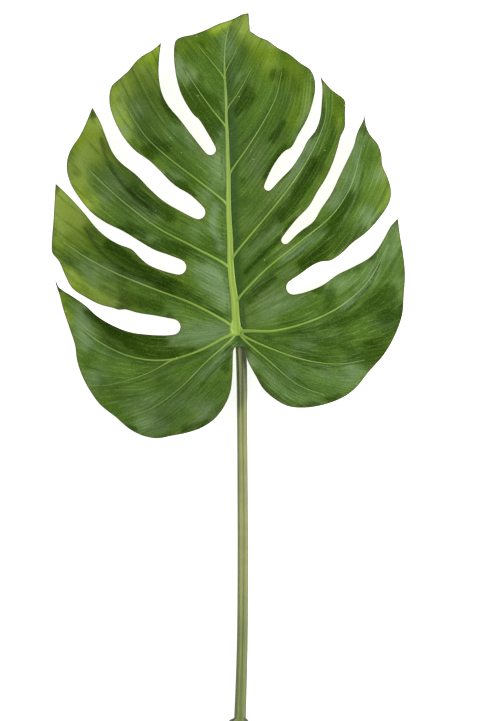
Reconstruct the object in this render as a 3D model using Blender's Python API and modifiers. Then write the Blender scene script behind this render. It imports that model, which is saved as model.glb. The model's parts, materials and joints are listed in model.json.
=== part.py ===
"""Split-leaf philodendron leaf, picked with its stalk and lying face up on a flat surface.

The leaf is drawn in plan from the point where the stalk meets the blade: x to the right, y towards the
apex, in millimetres. The blade is one thin sheet with four slits on its left and three on its right. It is
lifted into a shallow dome, folded into a valley along the midrib and along each side vein, and let down on
the surface at its margin. The pale ribs stand on its upper face, and keels of the same veins under it.
"""

import math

import bmesh
import bpy
import numpy as np
from mathutils.geometry import delaunay_2d_cdt

# Driving sizes, in millimetres
MM = 0.001
BLADE_THICK = 0.8
CLEARANCE = 0.3
MARGIN_STEP = 7.0
VEIN_STEP = 9.0
FIELD_STEP = 11.5
FIELD_CLEAR = 7.1
JOIN_DISTANCE = 0.001
SLIT_END_ANGLES = (80, 40, 0, -40, -80)

# Height of the upper face along the midrib: (distance from the stalk towards the apex, height)
MIDRIB_HEIGHTS = ((-110, 11), (-40, 14), (0, 16.5), (60, 24), (130, 29), (200, 26), (270, 17), (330, 4))
VALLEY_RISE = 9.0
VALLEY_REACH = 26.0
HALF_SPAN = 150.0
DROOP = 30.0
GUTTER_SLOPE = 0.27
GUTTER_SHARPNESS = 3.0
GUTTER_BLEND = 5.0
GUTTER_START = 12.0
GUTTER_FULL = 70.0
RIPPLE_HEIGHT = 1.5
RIPPLE_WAVE = 64.0
RIPPLE_SLANT = 0.6
RIPPLE_CROSS_WAVE = 80.0
FLOOR_BLEND = 2.5

# Ribs on the upper face and keels under it
RIB_CROWN = 0.9
RIB_EDGE_THICK = 0.6
RIB_TAPER = 0.6
MIDRIB_TAPER = 0.75
KEEL_DEPTH = 4.0
KEEL_FULL_WIDTH = 9.0
KEEL_SPREAD = 1.6
KEEL_START = (6.0, 34.0)

# Stalk above its base: (x, y, height of its axis, radius), from the base to the blade
STALK = (
    (2.1, -380, 8.6, 6.0),
    (3.4, -342, 8.0, 5.7),
    (4.5, -296, 7.4, 5.5),
    (4.9, -219, 7.0, 5.4),
    (4.6, -142, 7.2, 5.3),
    (4.3, -90, 8.0, 5.2),
    (4.0, -50, 9.4, 5.3),
    (3.4, -20, 10.9, 5.4),
    (2.4, -4, 11.5, 5.1),
    (1.2, 6, 11.9, 4.0),
    (0.6, 10, 12.0, 2.4),
)
STALK_STEP = 10.0
# The stalk's flared base, cut square: (x, y, radius), from the cut end up
BASE_RADIUS = 10.2
BASE = (
    (0.8, -395.5, 8.9),
    (0.8, -394, BASE_RADIUS),
    (0.8, -384.5, BASE_RADIUS),
    (0.9, -382.5, 9.6),
    (1.3, -381.4, 8.0),
    (1.7, -380.8, 6.9),
)
SECTION_SIDES = 20
SECTION_FLAT_ANGLE = 27.0
CHANNEL_DEPTH = 0.1
CHANNEL_HALF_ANGLE = 40.0

# The margin, run by run from one sharp tip to the next, anticlockwise from the apex. A point of three
# numbers is the round inner end of a slit: its centre and radius.
APEX = (10.7, 325)
MARGIN = (
    # Top lobe's left crown, first left slit
    (APEX, (5, 324.2), (-6, 319), (-20, 314), (-32, 308), (-45, 303), (-57, 300.2), (-62, 297),
     (-64, 285), (-62, 263), (-57, 244), (-50, 230.5), (-44, 222), (-39, 217.5), (-31, 205),
     (-27.5, 187.5, 5.5), (-45, 200.5), (-58, 217.5), (-70, 232), (-76, 244.5), (-79, 262),
     (-78.6, 279), (-76.7, 294.5)),
    # Second left lobe and slit
    ((-76.7, 294.5), (-85, 287.5), (-96, 281), (-103, 274.5), (-109, 267), (-119, 258.5),
     (-126, 252), (-128.4, 244), (-128, 232), (-123, 216.5), (-114, 200), (-103, 187), (-88, 176),
     (-77, 165.5), (-68, 156), (-60, 149.5), (-48, 142.5), (-39.5, 125, 7), (-58, 126.5),
     (-74, 136), (-88, 148.5), (-101, 162), (-117, 175), (-125, 185), (-131.5, 200),
     (-137.5, 215.5), (-145.5, 230.5)),
    # Third left lobe and slit
    ((-145.5, 230.5), (-151, 217), (-158, 203), (-167, 190), (-171, 179), (-171.2, 167),
     (-167.5, 154.5), (-159, 140.5), (-146, 125), (-132, 115), (-114, 106), (-97, 95.5),
     (-83, 87.5), (-69, 82.5), (-59, 70.5, 7.5), (-78, 68), (-90, 73.5), (-98, 80.5),
     (-106, 88.3), (-118, 93), (-131, 100.5), (-142, 110.5), (-153, 124), (-168, 140.5),
     (-182.8, 155)),
    # Fourth left lobe and slit
    ((-182.8, 155), (-183.5, 140), (-185.2, 116), (-186.8, 94), (-186.2, 85.5), (-179.5, 77),
     (-173, 62.5), (-166, 50), (-152, 40.5), (-138, 33.5), (-125, 30), (-118.5, 28), (-113, 28.5),
     (-100, 25), (-83, 22.3), (-71, 20), (-65, 11, 7.7), (-72, 2.6), (-88, 3.2), (-108, 6),
     (-126, 13), (-141, 22), (-153, 32.7), (-166, 41.8), (-174.2, 46.9), (-179.7, 51.2),
     (-181.4, 54.5), (-183.8, 60.2)),
    # Left basal lobe, the notch over the stalk, right basal lobe
    ((-183.8, 60.2), (-182.3, 53), (-178.9, 43), (-175.6, 30), (-169, 10), (-163.5, -7), (-161.5, -22),
     (-156.5, -37.5), (-148, -53.5), (-138, -67), (-123, -79), (-109, -91), (-95, -98),
     (-81, -100.5), (-67, -98), (-50, -94.5), (-35, -89), (-23, -80.5), (-13, -67), (-7.5, -53),
     (-5.6, -37), (-5.2, -22), (-4.7, -13), (-3.4, -9.8), (-1, -9), (2, -9), (5, -9),
     (7.2, -9.9), (8.2, -14), (9.2, -21.5), (13.3, -30), (18, -38.5), (25, -50.5),
     (36, -60.5), (50, -68), (67, -69.7), (87, -66.5), (104, -60),
     (117, -51), (131, -34), (146, -17), (157, 2), (164.5, 23), (166.3, 43), (167.5, 65),
     (165.5, 85), (162.5, 103), (160, 120)),
    # Third right slit and lobe, counted from the apex
    ((160, 120), (153, 112), (147, 101), (139, 88), (131, 80), (115, 71), (99, 63), (84, 52.5),
     (67, 45.5), (55.3, 50.3, 7.2), (62, 63.5), (73, 71.5), (82, 75.7), (92, 77), (103, 84),
     (114, 94.5), (129, 106), (143, 122), (151.5, 136), (153.2, 147), (150, 160), (144.5, 173),
     (143.4, 184), (140.2, 193.5), (131.8, 204), (128.4, 211), (127, 218.5), (125.9, 226)),
    # Second right slit and lobe
    ((125.9, 226), (125.3, 218.5), (120.6, 208.7), (118, 201.5), (116, 193), (109.3, 178), (101, 161),
     (93, 144),
     (83, 129), (75, 116), (62, 106), (47, 97.2, 3.9), (57, 116.5), (71, 131.5), (79, 145.5),
     (88, 160), (95, 176), (99.5, 190), (102.5, 201), (106.5, 210), (107, 224), (107, 236.5),
     (104, 240.5), (95, 247), (87, 255), (82, 261.5)),
    # First right slit, top lobe's right crown
    ((82, 261.5), (84, 250), (83.5, 235), (81.5, 218), (77, 206.5), (69, 196), (63, 184),
     (53, 169), (42, 157.5), (30, 150.4, 4), (34, 169), (42, 181), (47, 186), (53, 189.5),
     (60, 202), (69, 218.5), (75, 237), (77.2, 254), (72.5, 267), (62, 274.5), (51, 283.5),
     (39, 290), (30, 296.7), (20, 301.2), (12, 307)),
    ((12, 307), (11.2, 318), APEX),
)

# Veins: points from the root outwards, and the rib's width at the root and at the end
MIDRIB = (((-0.5, 0), (-2.3, 20), (-3.3, 36), (-6, 57), (-7.5, 75), (-8.3, 98), (-9.4, 120),
           (-9.6, 140), (-9.6, 160), (-10.4, 180), (-10.8, 200), (-11.7, 220), (-12.1, 240),
           (-13.3, 260), (-13.5, 282), (-12.2, 298), (-9, 312)), 8.8, 1.8)
MAIN_VEINS = (
    # Left, from the apex down
    (((-11, 208), (-27.3, 229.5), (-44, 253.3), (-58.3, 277.2)), 2.6, 1.4),
    (((-11, 132.5), (-38, 155), (-67.3, 177.7), (-91.6, 200.3), (-110, 228), (-117, 242)), 3.2, 1.4),
    (((-9, 70), (-43.8, 90.3), (-78.3, 108.5), (-108, 130.5), (-138.4, 157.6), (-162.2, 182.8)),
     3.2, 1.4),
    (((-6.5, 12), (-43.3, 33), (-83, 48.5), (-123.2, 65.2), (-153, 81.2), (-176, 97)), 3.6, 1.4),
    (((-4, 4), (-13.6, 0.4), (-38.2, -12.4), (-73, -22.2), (-108, -18.5), (-139, -4), (-167.4, 17.6)),
     3.6, 1.4),
    (((-4, 2), (-33, -25), (-58, -50), (-84, -69), (-108, -78.5)), 2.8, 1.4),
    # Right, from the apex down
    (((-8.6, 163), (9, 189), (25.4, 215.3), (38, 241), (43.8, 266)), 2.8, 1.4),
    (((-6, 79), (-2.4, 84.6), (32.4, 126.2), (59.4, 161.7), (78, 194.4), (87.2, 220.3), (88.2, 240)),
     3.4, 1.4),
    (((-2, 35), (0.8, 40), (27.4, 68), (62, 96), (95, 124), (113, 152.6), (123.8, 190.2)), 3.6, 1.4),
    (((3, 6), (37, 7.3), (70, 16), (102, 31.5), (130, 56.5), (150, 92.5)), 4.0, 1.4),
    (((3, 4), (37, -12.3), (72, -23), (102, -26), (127, -22)), 3.2, 1.4),
    (((3, 2), (32, -24), (60, -46.8), (86.6, -57)), 2.8, 1.4),
)
SIDE_VEINS = (
    (((-13.5, 258.5), (-29, 279), (-40, 292)), 1.8, 1.3),
    (((-13.3, 264), (-9.3, 273), (-4.5, 281.5), (-1.5, 290)), 1.6, 1.3),
    (((-11.4, 226.8), (1.5, 246.6), (13.5, 269)), 2.0, 1.3),
    (((-66, -22), (-90, -35), (-118, -44.5), (-137, -48)), 2.0, 1.3),
)
SIDE_VEIN_DEPTH = 1.0
SIDE_VEIN_REACH = 8.0

# Colours: base colour, roughness
BLADE_COLOUR = ((0.045, 0.115, 0.016), 0.42)
RIB_COLOUR = ((0.27, 0.42, 0.07), 0.5)
STALK_COLOUR = ((0.22, 0.25, 0.075), 0.55)


def smooth_line(points, step):
    """Points about one step apart on a smooth curve through the given ones, both ends included."""
    given = np.array(points, float)
    chord = np.sqrt(np.linalg.norm(np.diff(given, axis=0), axis=1))
    knots = np.concatenate([[0.0], np.cumsum(chord)])
    slope = np.gradient(given, knots, axis=0)
    made = []
    for start in range(len(given) - 1):
        span = knots[start + 1] - knots[start]
        length = np.linalg.norm(given[start + 1] - given[start])
        count = max(1, round(length / step))
        t = np.linspace(0, 1, count, endpoint=False)[:, None]
        made.append(
            given[start] * (1 + 2 * t) * (1 - t) ** 2
            + slope[start] * span * t * (1 - t) ** 2
            + given[start + 1] * t**2 * (3 - 2 * t)
            + slope[start + 1] * span * t**2 * (t - 1)
        )
    return np.concatenate([*made, given[-1:]])


def with_round_ends(run):
    """The run with each slit's round end written out as points on its circle."""
    made = []
    for index, point in enumerate(run):
        if len(point) == 2:
            made.append(point)
            continue
        centre = np.array(point[:2], float)
        mouth = (np.array(run[index - 1][:2]) + np.array(run[index + 1][:2])) / 2
        inwards = math.atan2(*(centre - mouth)[::-1])
        for degrees in SLIT_END_ANGLES:
            angle = inwards + math.radians(degrees)
            made.append(tuple(centre + point[2] * np.array([math.cos(angle), math.sin(angle)])))
    return made


def margin_line(step):
    """The whole margin as one closed ring of points, anticlockwise."""
    return np.concatenate([smooth_line(with_round_ends(run), step)[:-1] for run in MARGIN])


def plan_centre():
    """The middle of the leaf's plan, which lies at the frame's origin."""
    ring = margin_line(MARGIN_STEP)
    across = (ring[:, 0].min() + ring[:, 0].max()) / 2
    return np.array([across, (BASE[0][1] + ring[:, 1].max()) / 2])


def nearest_on(line, points):
    """For each point, its distance to the line and how far along it the nearest place is, from 0 to 1."""
    best = np.full(len(points), np.inf)
    share = np.zeros(len(points))
    lengths = np.linalg.norm(np.diff(line, axis=0), axis=1)
    starts = np.concatenate([[0.0], np.cumsum(lengths)])
    for index, length in enumerate(lengths):
        along = line[index + 1] - line[index]
        t = np.clip((points - line[index]) @ along / length**2, 0, 1)
        distance = np.linalg.norm(points - line[index] - t[:, None] * along, axis=1)
        closer = distance < best
        best[closer] = distance[closer]
        share[closer] = ((starts[index] + t * length) / starts[-1])[closer]
    return best, share


def eased(value, low, high):
    """0 at and below low, 1 at and above high, and smooth between them."""
    t = np.clip((value - low) / (high - low), 0, 1)
    return t * t * (3 - 2 * t)


def rib_width(vein, share):
    """The rib's full width at a share of its length."""
    _, root, end = vein
    taper = MIDRIB_TAPER if vein is MIDRIB else RIB_TAPER
    return root + (end - root) * share**taper


def blade_height(points, thickness):
    """Height of the blade's upper face over each plan point, with its underside clear of the surface."""
    distance, _ = nearest_on(smooth_line(MIDRIB[0], VEIN_STEP), points)
    knots = smooth_line(MIDRIB_HEIGHTS, FIELD_STEP)
    height = np.interp(points[:, 1], knots[:, 0], knots[:, 1])
    height += VALLEY_RISE * (1 - np.exp(-distance / VALLEY_REACH))
    height -= DROOP * (distance / HALF_SPAN) ** 2
    nearness = np.zeros(len(points))
    for vein in MAIN_VEINS:
        away, _ = nearest_on(smooth_line(vein[0], VEIN_STEP), points)
        nearness += np.exp(-away / GUTTER_BLEND)
    away = np.maximum(-GUTTER_BLEND * np.log(nearness), 0)
    gutter = np.sqrt(away**2 + GUTTER_SHARPNESS**2) - GUTTER_SHARPNESS
    height += GUTTER_SLOPE * gutter * eased(distance, GUTTER_START, GUTTER_FULL)
    for vein in SIDE_VEINS:
        away, _ = nearest_on(smooth_line(vein[0], VEIN_STEP), points)
        height -= SIDE_VEIN_DEPTH * np.exp(-((away / SIDE_VEIN_REACH) ** 2))
    turn = 2 * math.pi
    ripple = np.sin(turn / RIPPLE_WAVE * (points[:, 0] + RIPPLE_SLANT * points[:, 1]))
    ripple *= np.cos(turn / RIPPLE_CROSS_WAVE * points[:, 1])
    height += RIPPLE_HEIGHT * ripple * eased(distance, GUTTER_START, GUTTER_FULL)
    under = height - thickness
    return thickness + 0.5 * (under + np.sqrt(under**2 + FLOOR_BLEND**2))


def rib_shape(points):
    """For each plan point, its place across the nearest rib, 0 at the crest and 1 at its edge, and the
    rib's width there."""
    place = np.full(len(points), np.inf)
    width = np.zeros(len(points))
    for vein in (MIDRIB, *MAIN_VEINS, *SIDE_VEINS):
        away, share = nearest_on(smooth_line(vein[0], VEIN_STEP), points)
        full = rib_width(vein, share)
        nearer = away / (full / 2) < place
        place[nearer] = (away / (full / 2))[nearer]
        width[nearer] = full[nearer]
    return place, width


def rib_edges(vein):
    """The crest line and the two edge lines of a rib."""
    line = smooth_line(vein[0], VEIN_STEP)
    along = np.gradient(line, axis=0)
    across = np.stack([-along[:, 1], along[:, 0]], axis=1)
    across /= np.linalg.norm(across, axis=1)[:, None]
    half = rib_width(vein, np.linspace(0, 1, len(line)))[:, None] / 2
    return line, line + across * half, line - across * half


def inside(ring, points):
    """Whether each point lies inside the closed ring."""
    crossings = np.zeros(len(points), int)
    for start, end in zip(ring, np.roll(ring, -1, axis=0)):
        spans = (start[1] > points[:, 1]) != (end[1] > points[:, 1])
        rise = end[1] - start[1]
        if rise:
            x = start[0] + (points[:, 1] - start[1]) * (end[0] - start[0]) / rise
            crossings += spans & (points[:, 0] < x)
    return crossings % 2 == 1


def field_points(ring, taken):
    """An even field of points inside the ring, clear of the points already taken."""
    low, high = ring.min(axis=0), ring.max(axis=0)
    rows = np.arange(low[1], high[1], FIELD_STEP * math.sqrt(3) / 2)
    columns = np.arange(low[0], high[0], FIELD_STEP)
    shifts = [(row % 2) * FIELD_STEP / 2 for row in range(len(rows))]
    field = np.array([(x + shift, y) for shift, y in zip(shifts, rows) for x in columns])
    field = field[inside(ring, field)]
    clear = [np.linalg.norm(taken - point, axis=1).min() > FIELD_CLEAR for point in field]
    return field[clear]


def triangulated_plan():
    """The blade's plan split into triangles, with the margin and every rib's lines as edges."""
    ring = margin_line(MARGIN_STEP)
    points = [ring]
    edges = [(i, (i + 1) % len(ring)) for i in range(len(ring))]
    count = len(ring)
    for vein in (MIDRIB, *MAIN_VEINS, *SIDE_VEINS):
        crest, left, right = rib_edges(vein)
        lines = [crest, np.concatenate([left, right[::-1], left[:1]])]
        for line in lines:
            edges += [(count + i, count + i + 1) for i in range(len(line) - 1)]
            points.append(line)
            count += len(line)
    points.append(field_points(ring, np.concatenate(points)))
    flat = [tuple(point) for point in np.concatenate(points)]
    made = delaunay_2d_cdt(flat, edges, [], 1, JOIN_DISTANCE)
    return np.array([tuple(v) for v in made[0]]), made[2]


def sheet_object(name, plan, faces, heights, thickness, upwards, centre):
    """A waved sheet over the plan, given its thickness point by point, on one side of its surface."""
    used = sorted({corner for face in faces for corner in face})
    index = {old: new for new, old in enumerate(used)}
    work = bmesh.new()
    corners = [
        work.verts.new(((plan[i][0] - centre[0]) * MM, (plan[i][1] - centre[1]) * MM, heights[i] * MM))
        for i in used
    ]
    for face in faces:
        work.faces.new([corners[index[corner]] for corner in face])
    bmesh.ops.recalc_face_normals(work, faces=work.faces)
    if sum(face.normal.z for face in work.faces) < 0:
        bmesh.ops.reverse_faces(work, faces=work.faces)
    mesh = bpy.data.meshes.new(name)
    work.to_mesh(mesh)
    work.free()
    made = bpy.data.objects.new(name, mesh)
    most = max(thickness[i] for i in used)
    group = made.vertex_groups.new(name="thickness")
    for new, old in enumerate(used):
        group.add([new], thickness[old] / most, "REPLACE")
    solidify = made.modifiers.new("thickness", "SOLIDIFY")
    solidify.thickness = most * MM
    solidify.vertex_group = "thickness"
    solidify.offset = 1 if upwards else -1
    mesh.shade_smooth()
    return made


def stalk_outline():
    """The stalk's closed outline at radius 1: round, flat where it lies and channelled on top."""
    outline = []
    for step in range(SECTION_SIDES):
        start = 270 - SECTION_FLAT_ANGLE
        degrees = start - step * (360 - 2 * SECTION_FLAT_ANGLE) / (SECTION_SIDES - 1)
        radius = 1 - CHANNEL_DEPTH * (1 - eased(abs(degrees - 90), 0, CHANNEL_HALF_ANGLE))
        angle = math.radians(degrees)
        outline.append((radius * math.cos(angle), radius * math.sin(angle)))
    return outline


def swept_object(name, stations, outline, centre):
    """The outline set square to the length at stations of (x, y, axis height, radius), ends closed."""
    vertices, faces = [], []
    for x, y, z, radius in stations:
        for across, up in outline:
            place = (x - centre[0] + across * radius, y - centre[1], z + up * radius)
            vertices.append([number * MM for number in place])
    count = len(outline)
    for row in range(0, len(vertices) - count, count):
        for column in range(count):
            a, b = row + column, row + (column + 1) % count
            faces.append((a, b, b + count, a + count))
    faces.append(tuple(reversed(range(count))))
    faces.append(tuple(range(len(vertices) - count, len(vertices))))
    mesh = bpy.data.meshes.new(name)
    mesh.from_pydata(vertices, [], faces)
    return bpy.data.objects.new(name, mesh)


def stalk_stations():
    """The stalk's stations from its cut end to the blade, its base lying flat on the surface."""
    axis = BASE_RADIUS * math.cos(math.radians(SECTION_FLAT_ANGLE))
    base = [(x, y, axis, radius) for x, y, radius in BASE]
    return [*base, *smooth_line(STALK, STALK_STEP)]


def material(name, look):
    """A plain material of one colour and roughness."""
    made = bpy.data.materials.new(name)
    made.use_nodes = True
    shader = made.node_tree.nodes["Principled BSDF"]
    shader.inputs["Base Color"].default_value = (*look[0], 1)
    shader.inputs["Roughness"].default_value = look[1]
    shader.inputs["Metallic"].default_value = 0
    return made


def build():
    """Makes the blade, its ribs and the stalk."""
    for old in list(bpy.data.objects):
        bpy.data.objects.remove(old)
    leaf = bpy.data.collections.new("philodendron_leaf")
    bpy.context.scene.collection.children.link(leaf)
    centre = plan_centre()

    plan, faces = triangulated_plan()
    place, width = rib_shape(plan)
    keel = KEEL_DEPTH * width / KEEL_FULL_WIDTH * np.clip(1 - (place / KEEL_SPREAD) ** 2, 0, 1)
    keel *= eased(np.hypot(plan[:, 0], plan[:, 1]), *KEEL_START)
    height = blade_height(plan, BLADE_THICK + keel)
    blade = sheet_object("blade", plan, faces, height, BLADE_THICK + keel, False, centre)
    blade.data.materials.append(material("blade_green", BLADE_COLOUR))

    middles = np.array([plan[list(face)].mean(axis=0) for face in faces])
    on_rib = rib_shape(middles)[0] < 1
    rib_faces = [face for face, kept in zip(faces, on_rib) if kept]
    crown = RIB_EDGE_THICK + RIB_CROWN * np.sqrt(width / KEEL_FULL_WIDTH) * np.clip(1 - place**2, 0, 1)
    ribs = sheet_object("ribs", plan, rib_faces, height + CLEARANCE, crown, True, centre)
    ribs.data.materials.append(material("rib_green", RIB_COLOUR))

    stalk = swept_object("stalk", stalk_stations(), stalk_outline(), centre)
    stalk.data.materials.append(material("stalk_green", STALK_COLOUR))

    for part in (blade, ribs, stalk):
        leaf.objects.link(part)


build()
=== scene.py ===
"""Finished look of a split-leaf philodendron leaf that lies face up on a pale surface.

The blade, its ribs and its stalk are made again here as finer meshes on the same drawing as the solids
that they replace, and dressed with procedural materials. Plan sizes are in millimetres, counted from the
point where the stalk meets the blade: x to the right and y towards the apex.
"""

import json
import logging
import math
from collections.abc import Sequence
from dataclasses import dataclass, replace
from enum import Enum

import bpy
import numpy as np
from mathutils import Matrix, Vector
from mathutils.geometry import delaunay_2d_cdt

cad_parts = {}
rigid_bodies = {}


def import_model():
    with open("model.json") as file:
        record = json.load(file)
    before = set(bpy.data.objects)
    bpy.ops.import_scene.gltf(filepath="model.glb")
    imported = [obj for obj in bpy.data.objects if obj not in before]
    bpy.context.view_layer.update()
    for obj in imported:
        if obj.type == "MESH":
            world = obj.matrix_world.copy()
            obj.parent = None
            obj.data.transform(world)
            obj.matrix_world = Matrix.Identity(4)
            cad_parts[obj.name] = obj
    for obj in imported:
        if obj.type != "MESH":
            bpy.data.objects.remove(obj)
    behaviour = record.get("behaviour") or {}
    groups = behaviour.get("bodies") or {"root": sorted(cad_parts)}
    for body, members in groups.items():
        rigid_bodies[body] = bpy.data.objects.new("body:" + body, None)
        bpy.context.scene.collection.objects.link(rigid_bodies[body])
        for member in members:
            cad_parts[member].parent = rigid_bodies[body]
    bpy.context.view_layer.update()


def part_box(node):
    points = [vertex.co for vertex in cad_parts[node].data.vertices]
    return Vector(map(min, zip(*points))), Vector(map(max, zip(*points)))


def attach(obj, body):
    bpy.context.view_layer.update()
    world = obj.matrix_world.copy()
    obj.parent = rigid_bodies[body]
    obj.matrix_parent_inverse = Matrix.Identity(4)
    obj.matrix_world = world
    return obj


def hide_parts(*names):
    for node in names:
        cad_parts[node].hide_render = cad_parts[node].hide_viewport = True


MM = 0.001
LOG = logging.getLogger("leaf")
# Asks the triangulation for the faces inside the outline alone
INNER_FACES = 1

# Two numbers, such as x and y, a step's start and end, or a bump's strength and depth in metres
Pair = tuple[float, float]
Point = tuple[float, ...]
Colour = tuple[float, float, float, float]

WHITE: Colour = (1.0, 1.0, 1.0, 1.0)


def linear(code: str) -> Colour:
    """Turns a screen colour into the linear one that materials use.

    Args:
        code: Six hexadecimal digits, red, green and blue.

    Returns:
        Linear red, green and blue, with alpha 1.
    """
    parts = [int(code[i : i + 2], 16) / 255 for i in (0, 2, 4)]
    made = [p / 12.92 if p <= 0.04045 else ((p + 0.055) / 1.055) ** 2.4 for p in parts]
    return (made[0], made[1], made[2], 1.0)


def eased(value: np.ndarray, low: float, high: float) -> np.ndarray:
    """Steps smoothly from 0 to 1.

    Args:
        value: The numbers to place.
        low: Where the step starts.
        high: Where it is complete; it may lie below low, for a step down.

    Returns:
        0 up to low, 1 from high on, and smooth between.
    """
    t = np.clip((value - low) / (high - low), 0, 1)
    return t * t * (3 - 2 * t)


def smooth_line(points: Sequence[Point], step: float) -> np.ndarray:
    """Draws a smooth curve through points.

    Args:
        points: The points, each with the same count of numbers.
        step: The rough spacing wanted.

    Returns:
        Points on the curve, both ends included.
    """
    given = np.array(points, float)
    chord = np.sqrt(np.linalg.norm(np.diff(given, axis=0), axis=1))
    knots = np.concatenate([[0.0], np.cumsum(chord)])
    slope = np.gradient(given, knots, axis=0)
    made = []
    for start in range(len(given) - 1):
        span = knots[start + 1] - knots[start]
        length = np.linalg.norm(given[start + 1] - given[start])
        t = np.linspace(0, 1, max(1, round(length / step)), endpoint=False)[:, None]
        made.append(
            given[start] * (1 + 2 * t) * (1 - t) ** 2
            + slope[start] * span * t * (1 - t) ** 2
            + given[start + 1] * t**2 * (3 - 2 * t)
            + slope[start + 1] * span * t**2 * (t - 1)
        )
    return np.concatenate([*made, given[-1:]])


@dataclass(frozen=True)
class Nearest:
    """Where points lie against a line: how far off, how far along, and on which side."""

    distance: np.ndarray
    share: np.ndarray
    left: np.ndarray


def nearest_on(line: np.ndarray, points: np.ndarray) -> Nearest:
    """Finds the nearest place on a line for each point.

    Args:
        line: The line's points.
        points: The points to place.

    Returns:
        Distances, shares of the line's length from 0 to 1, and whether each point is left of the line.
    """
    best = np.full(len(points), np.inf)
    share = np.zeros(len(points))
    left = np.zeros(len(points), bool)
    lengths = np.linalg.norm(np.diff(line, axis=0), axis=1)
    starts = np.concatenate([[0.0], np.cumsum(lengths)])
    for index, length in enumerate(lengths):
        along = line[index + 1] - line[index]
        off = points - line[index]
        t = np.clip(off @ along / length**2, 0, 1)
        distance = np.linalg.norm(off - t[:, None] * along, axis=1)
        closer = distance < best
        best[closer] = distance[closer]
        share[closer] = ((starts[index] + t * length) / starts[-1])[closer]
        left[closer] = (along[0] * off[:, 1] - along[1] * off[:, 0] > 0)[closer]
    return Nearest(best, share, left)


@dataclass(frozen=True)
class Vein:
    """One rib in plan, from its root outwards, with its width at both ends."""

    points: tuple[Point, ...]
    root: float
    end: float
    taper: float = 0.6

    def line(self, step: float) -> np.ndarray:
        """Returns the rib's crest line at this spacing."""
        return smooth_line(self.points, step)

    def width(self, share: np.ndarray) -> np.ndarray:
        """Returns the rib's full width at shares of its length."""
        return self.root + (self.end - self.root) * share**self.taper

    def guide(self, step: float, reach: float) -> np.ndarray:
        """Carries the crest line straight on past its end, as the grain runs.

        Args:
            step: The line's spacing.
            reach: How far it is carried on.

        Returns:
            The longer line.
        """
        line = self.line(step)
        along = line[-1] - line[-2]
        return np.concatenate([line, [line[-1] + along / np.linalg.norm(along) * reach]])


@dataclass(frozen=True)
class Mark:
    """A soft mark on the blade: the line that it follows, how far it reaches and how strong it is."""

    points: tuple[Point, ...]
    reach: float
    amount: float = 1.0

    def strength(self, plan: np.ndarray) -> np.ndarray:
        """Works out how strong the mark is, fading smoothly away from its line.

        Args:
            plan: Plan points.

        Returns:
            The strength at each point.
        """
        if len(self.points) == 1:
            away = np.linalg.norm(plan - np.array(self.points[0]), axis=1)
        else:
            away = nearest_on(smooth_line(self.points, self.reach / 2), plan).distance
        return self.amount * np.exp(-((away / self.reach) ** 2))


def spot(x: float, y: float, reach: float, amount: float = 1.0) -> Mark:
    """Returns a round mark."""
    return Mark(((x, y),), reach, amount)


def laid_over(marks: Sequence[Mark], plan: np.ndarray) -> np.ndarray:
    """Lays marks on the blade.

    Args:
        marks: The marks.
        plan: Plan points of the blade.

    Returns:
        The marks' joint strength at each point, from 0 to 1.
    """
    clear = np.ones(len(plan))
    for mark in marks:
        clear *= 1 - np.clip(mark.strength(plan), 0, 1)
    return 1 - clear


class Side(Enum):
    """The two halves of the blade, either side of the midrib."""

    LEFT = "left"
    RIGHT = "right"


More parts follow.
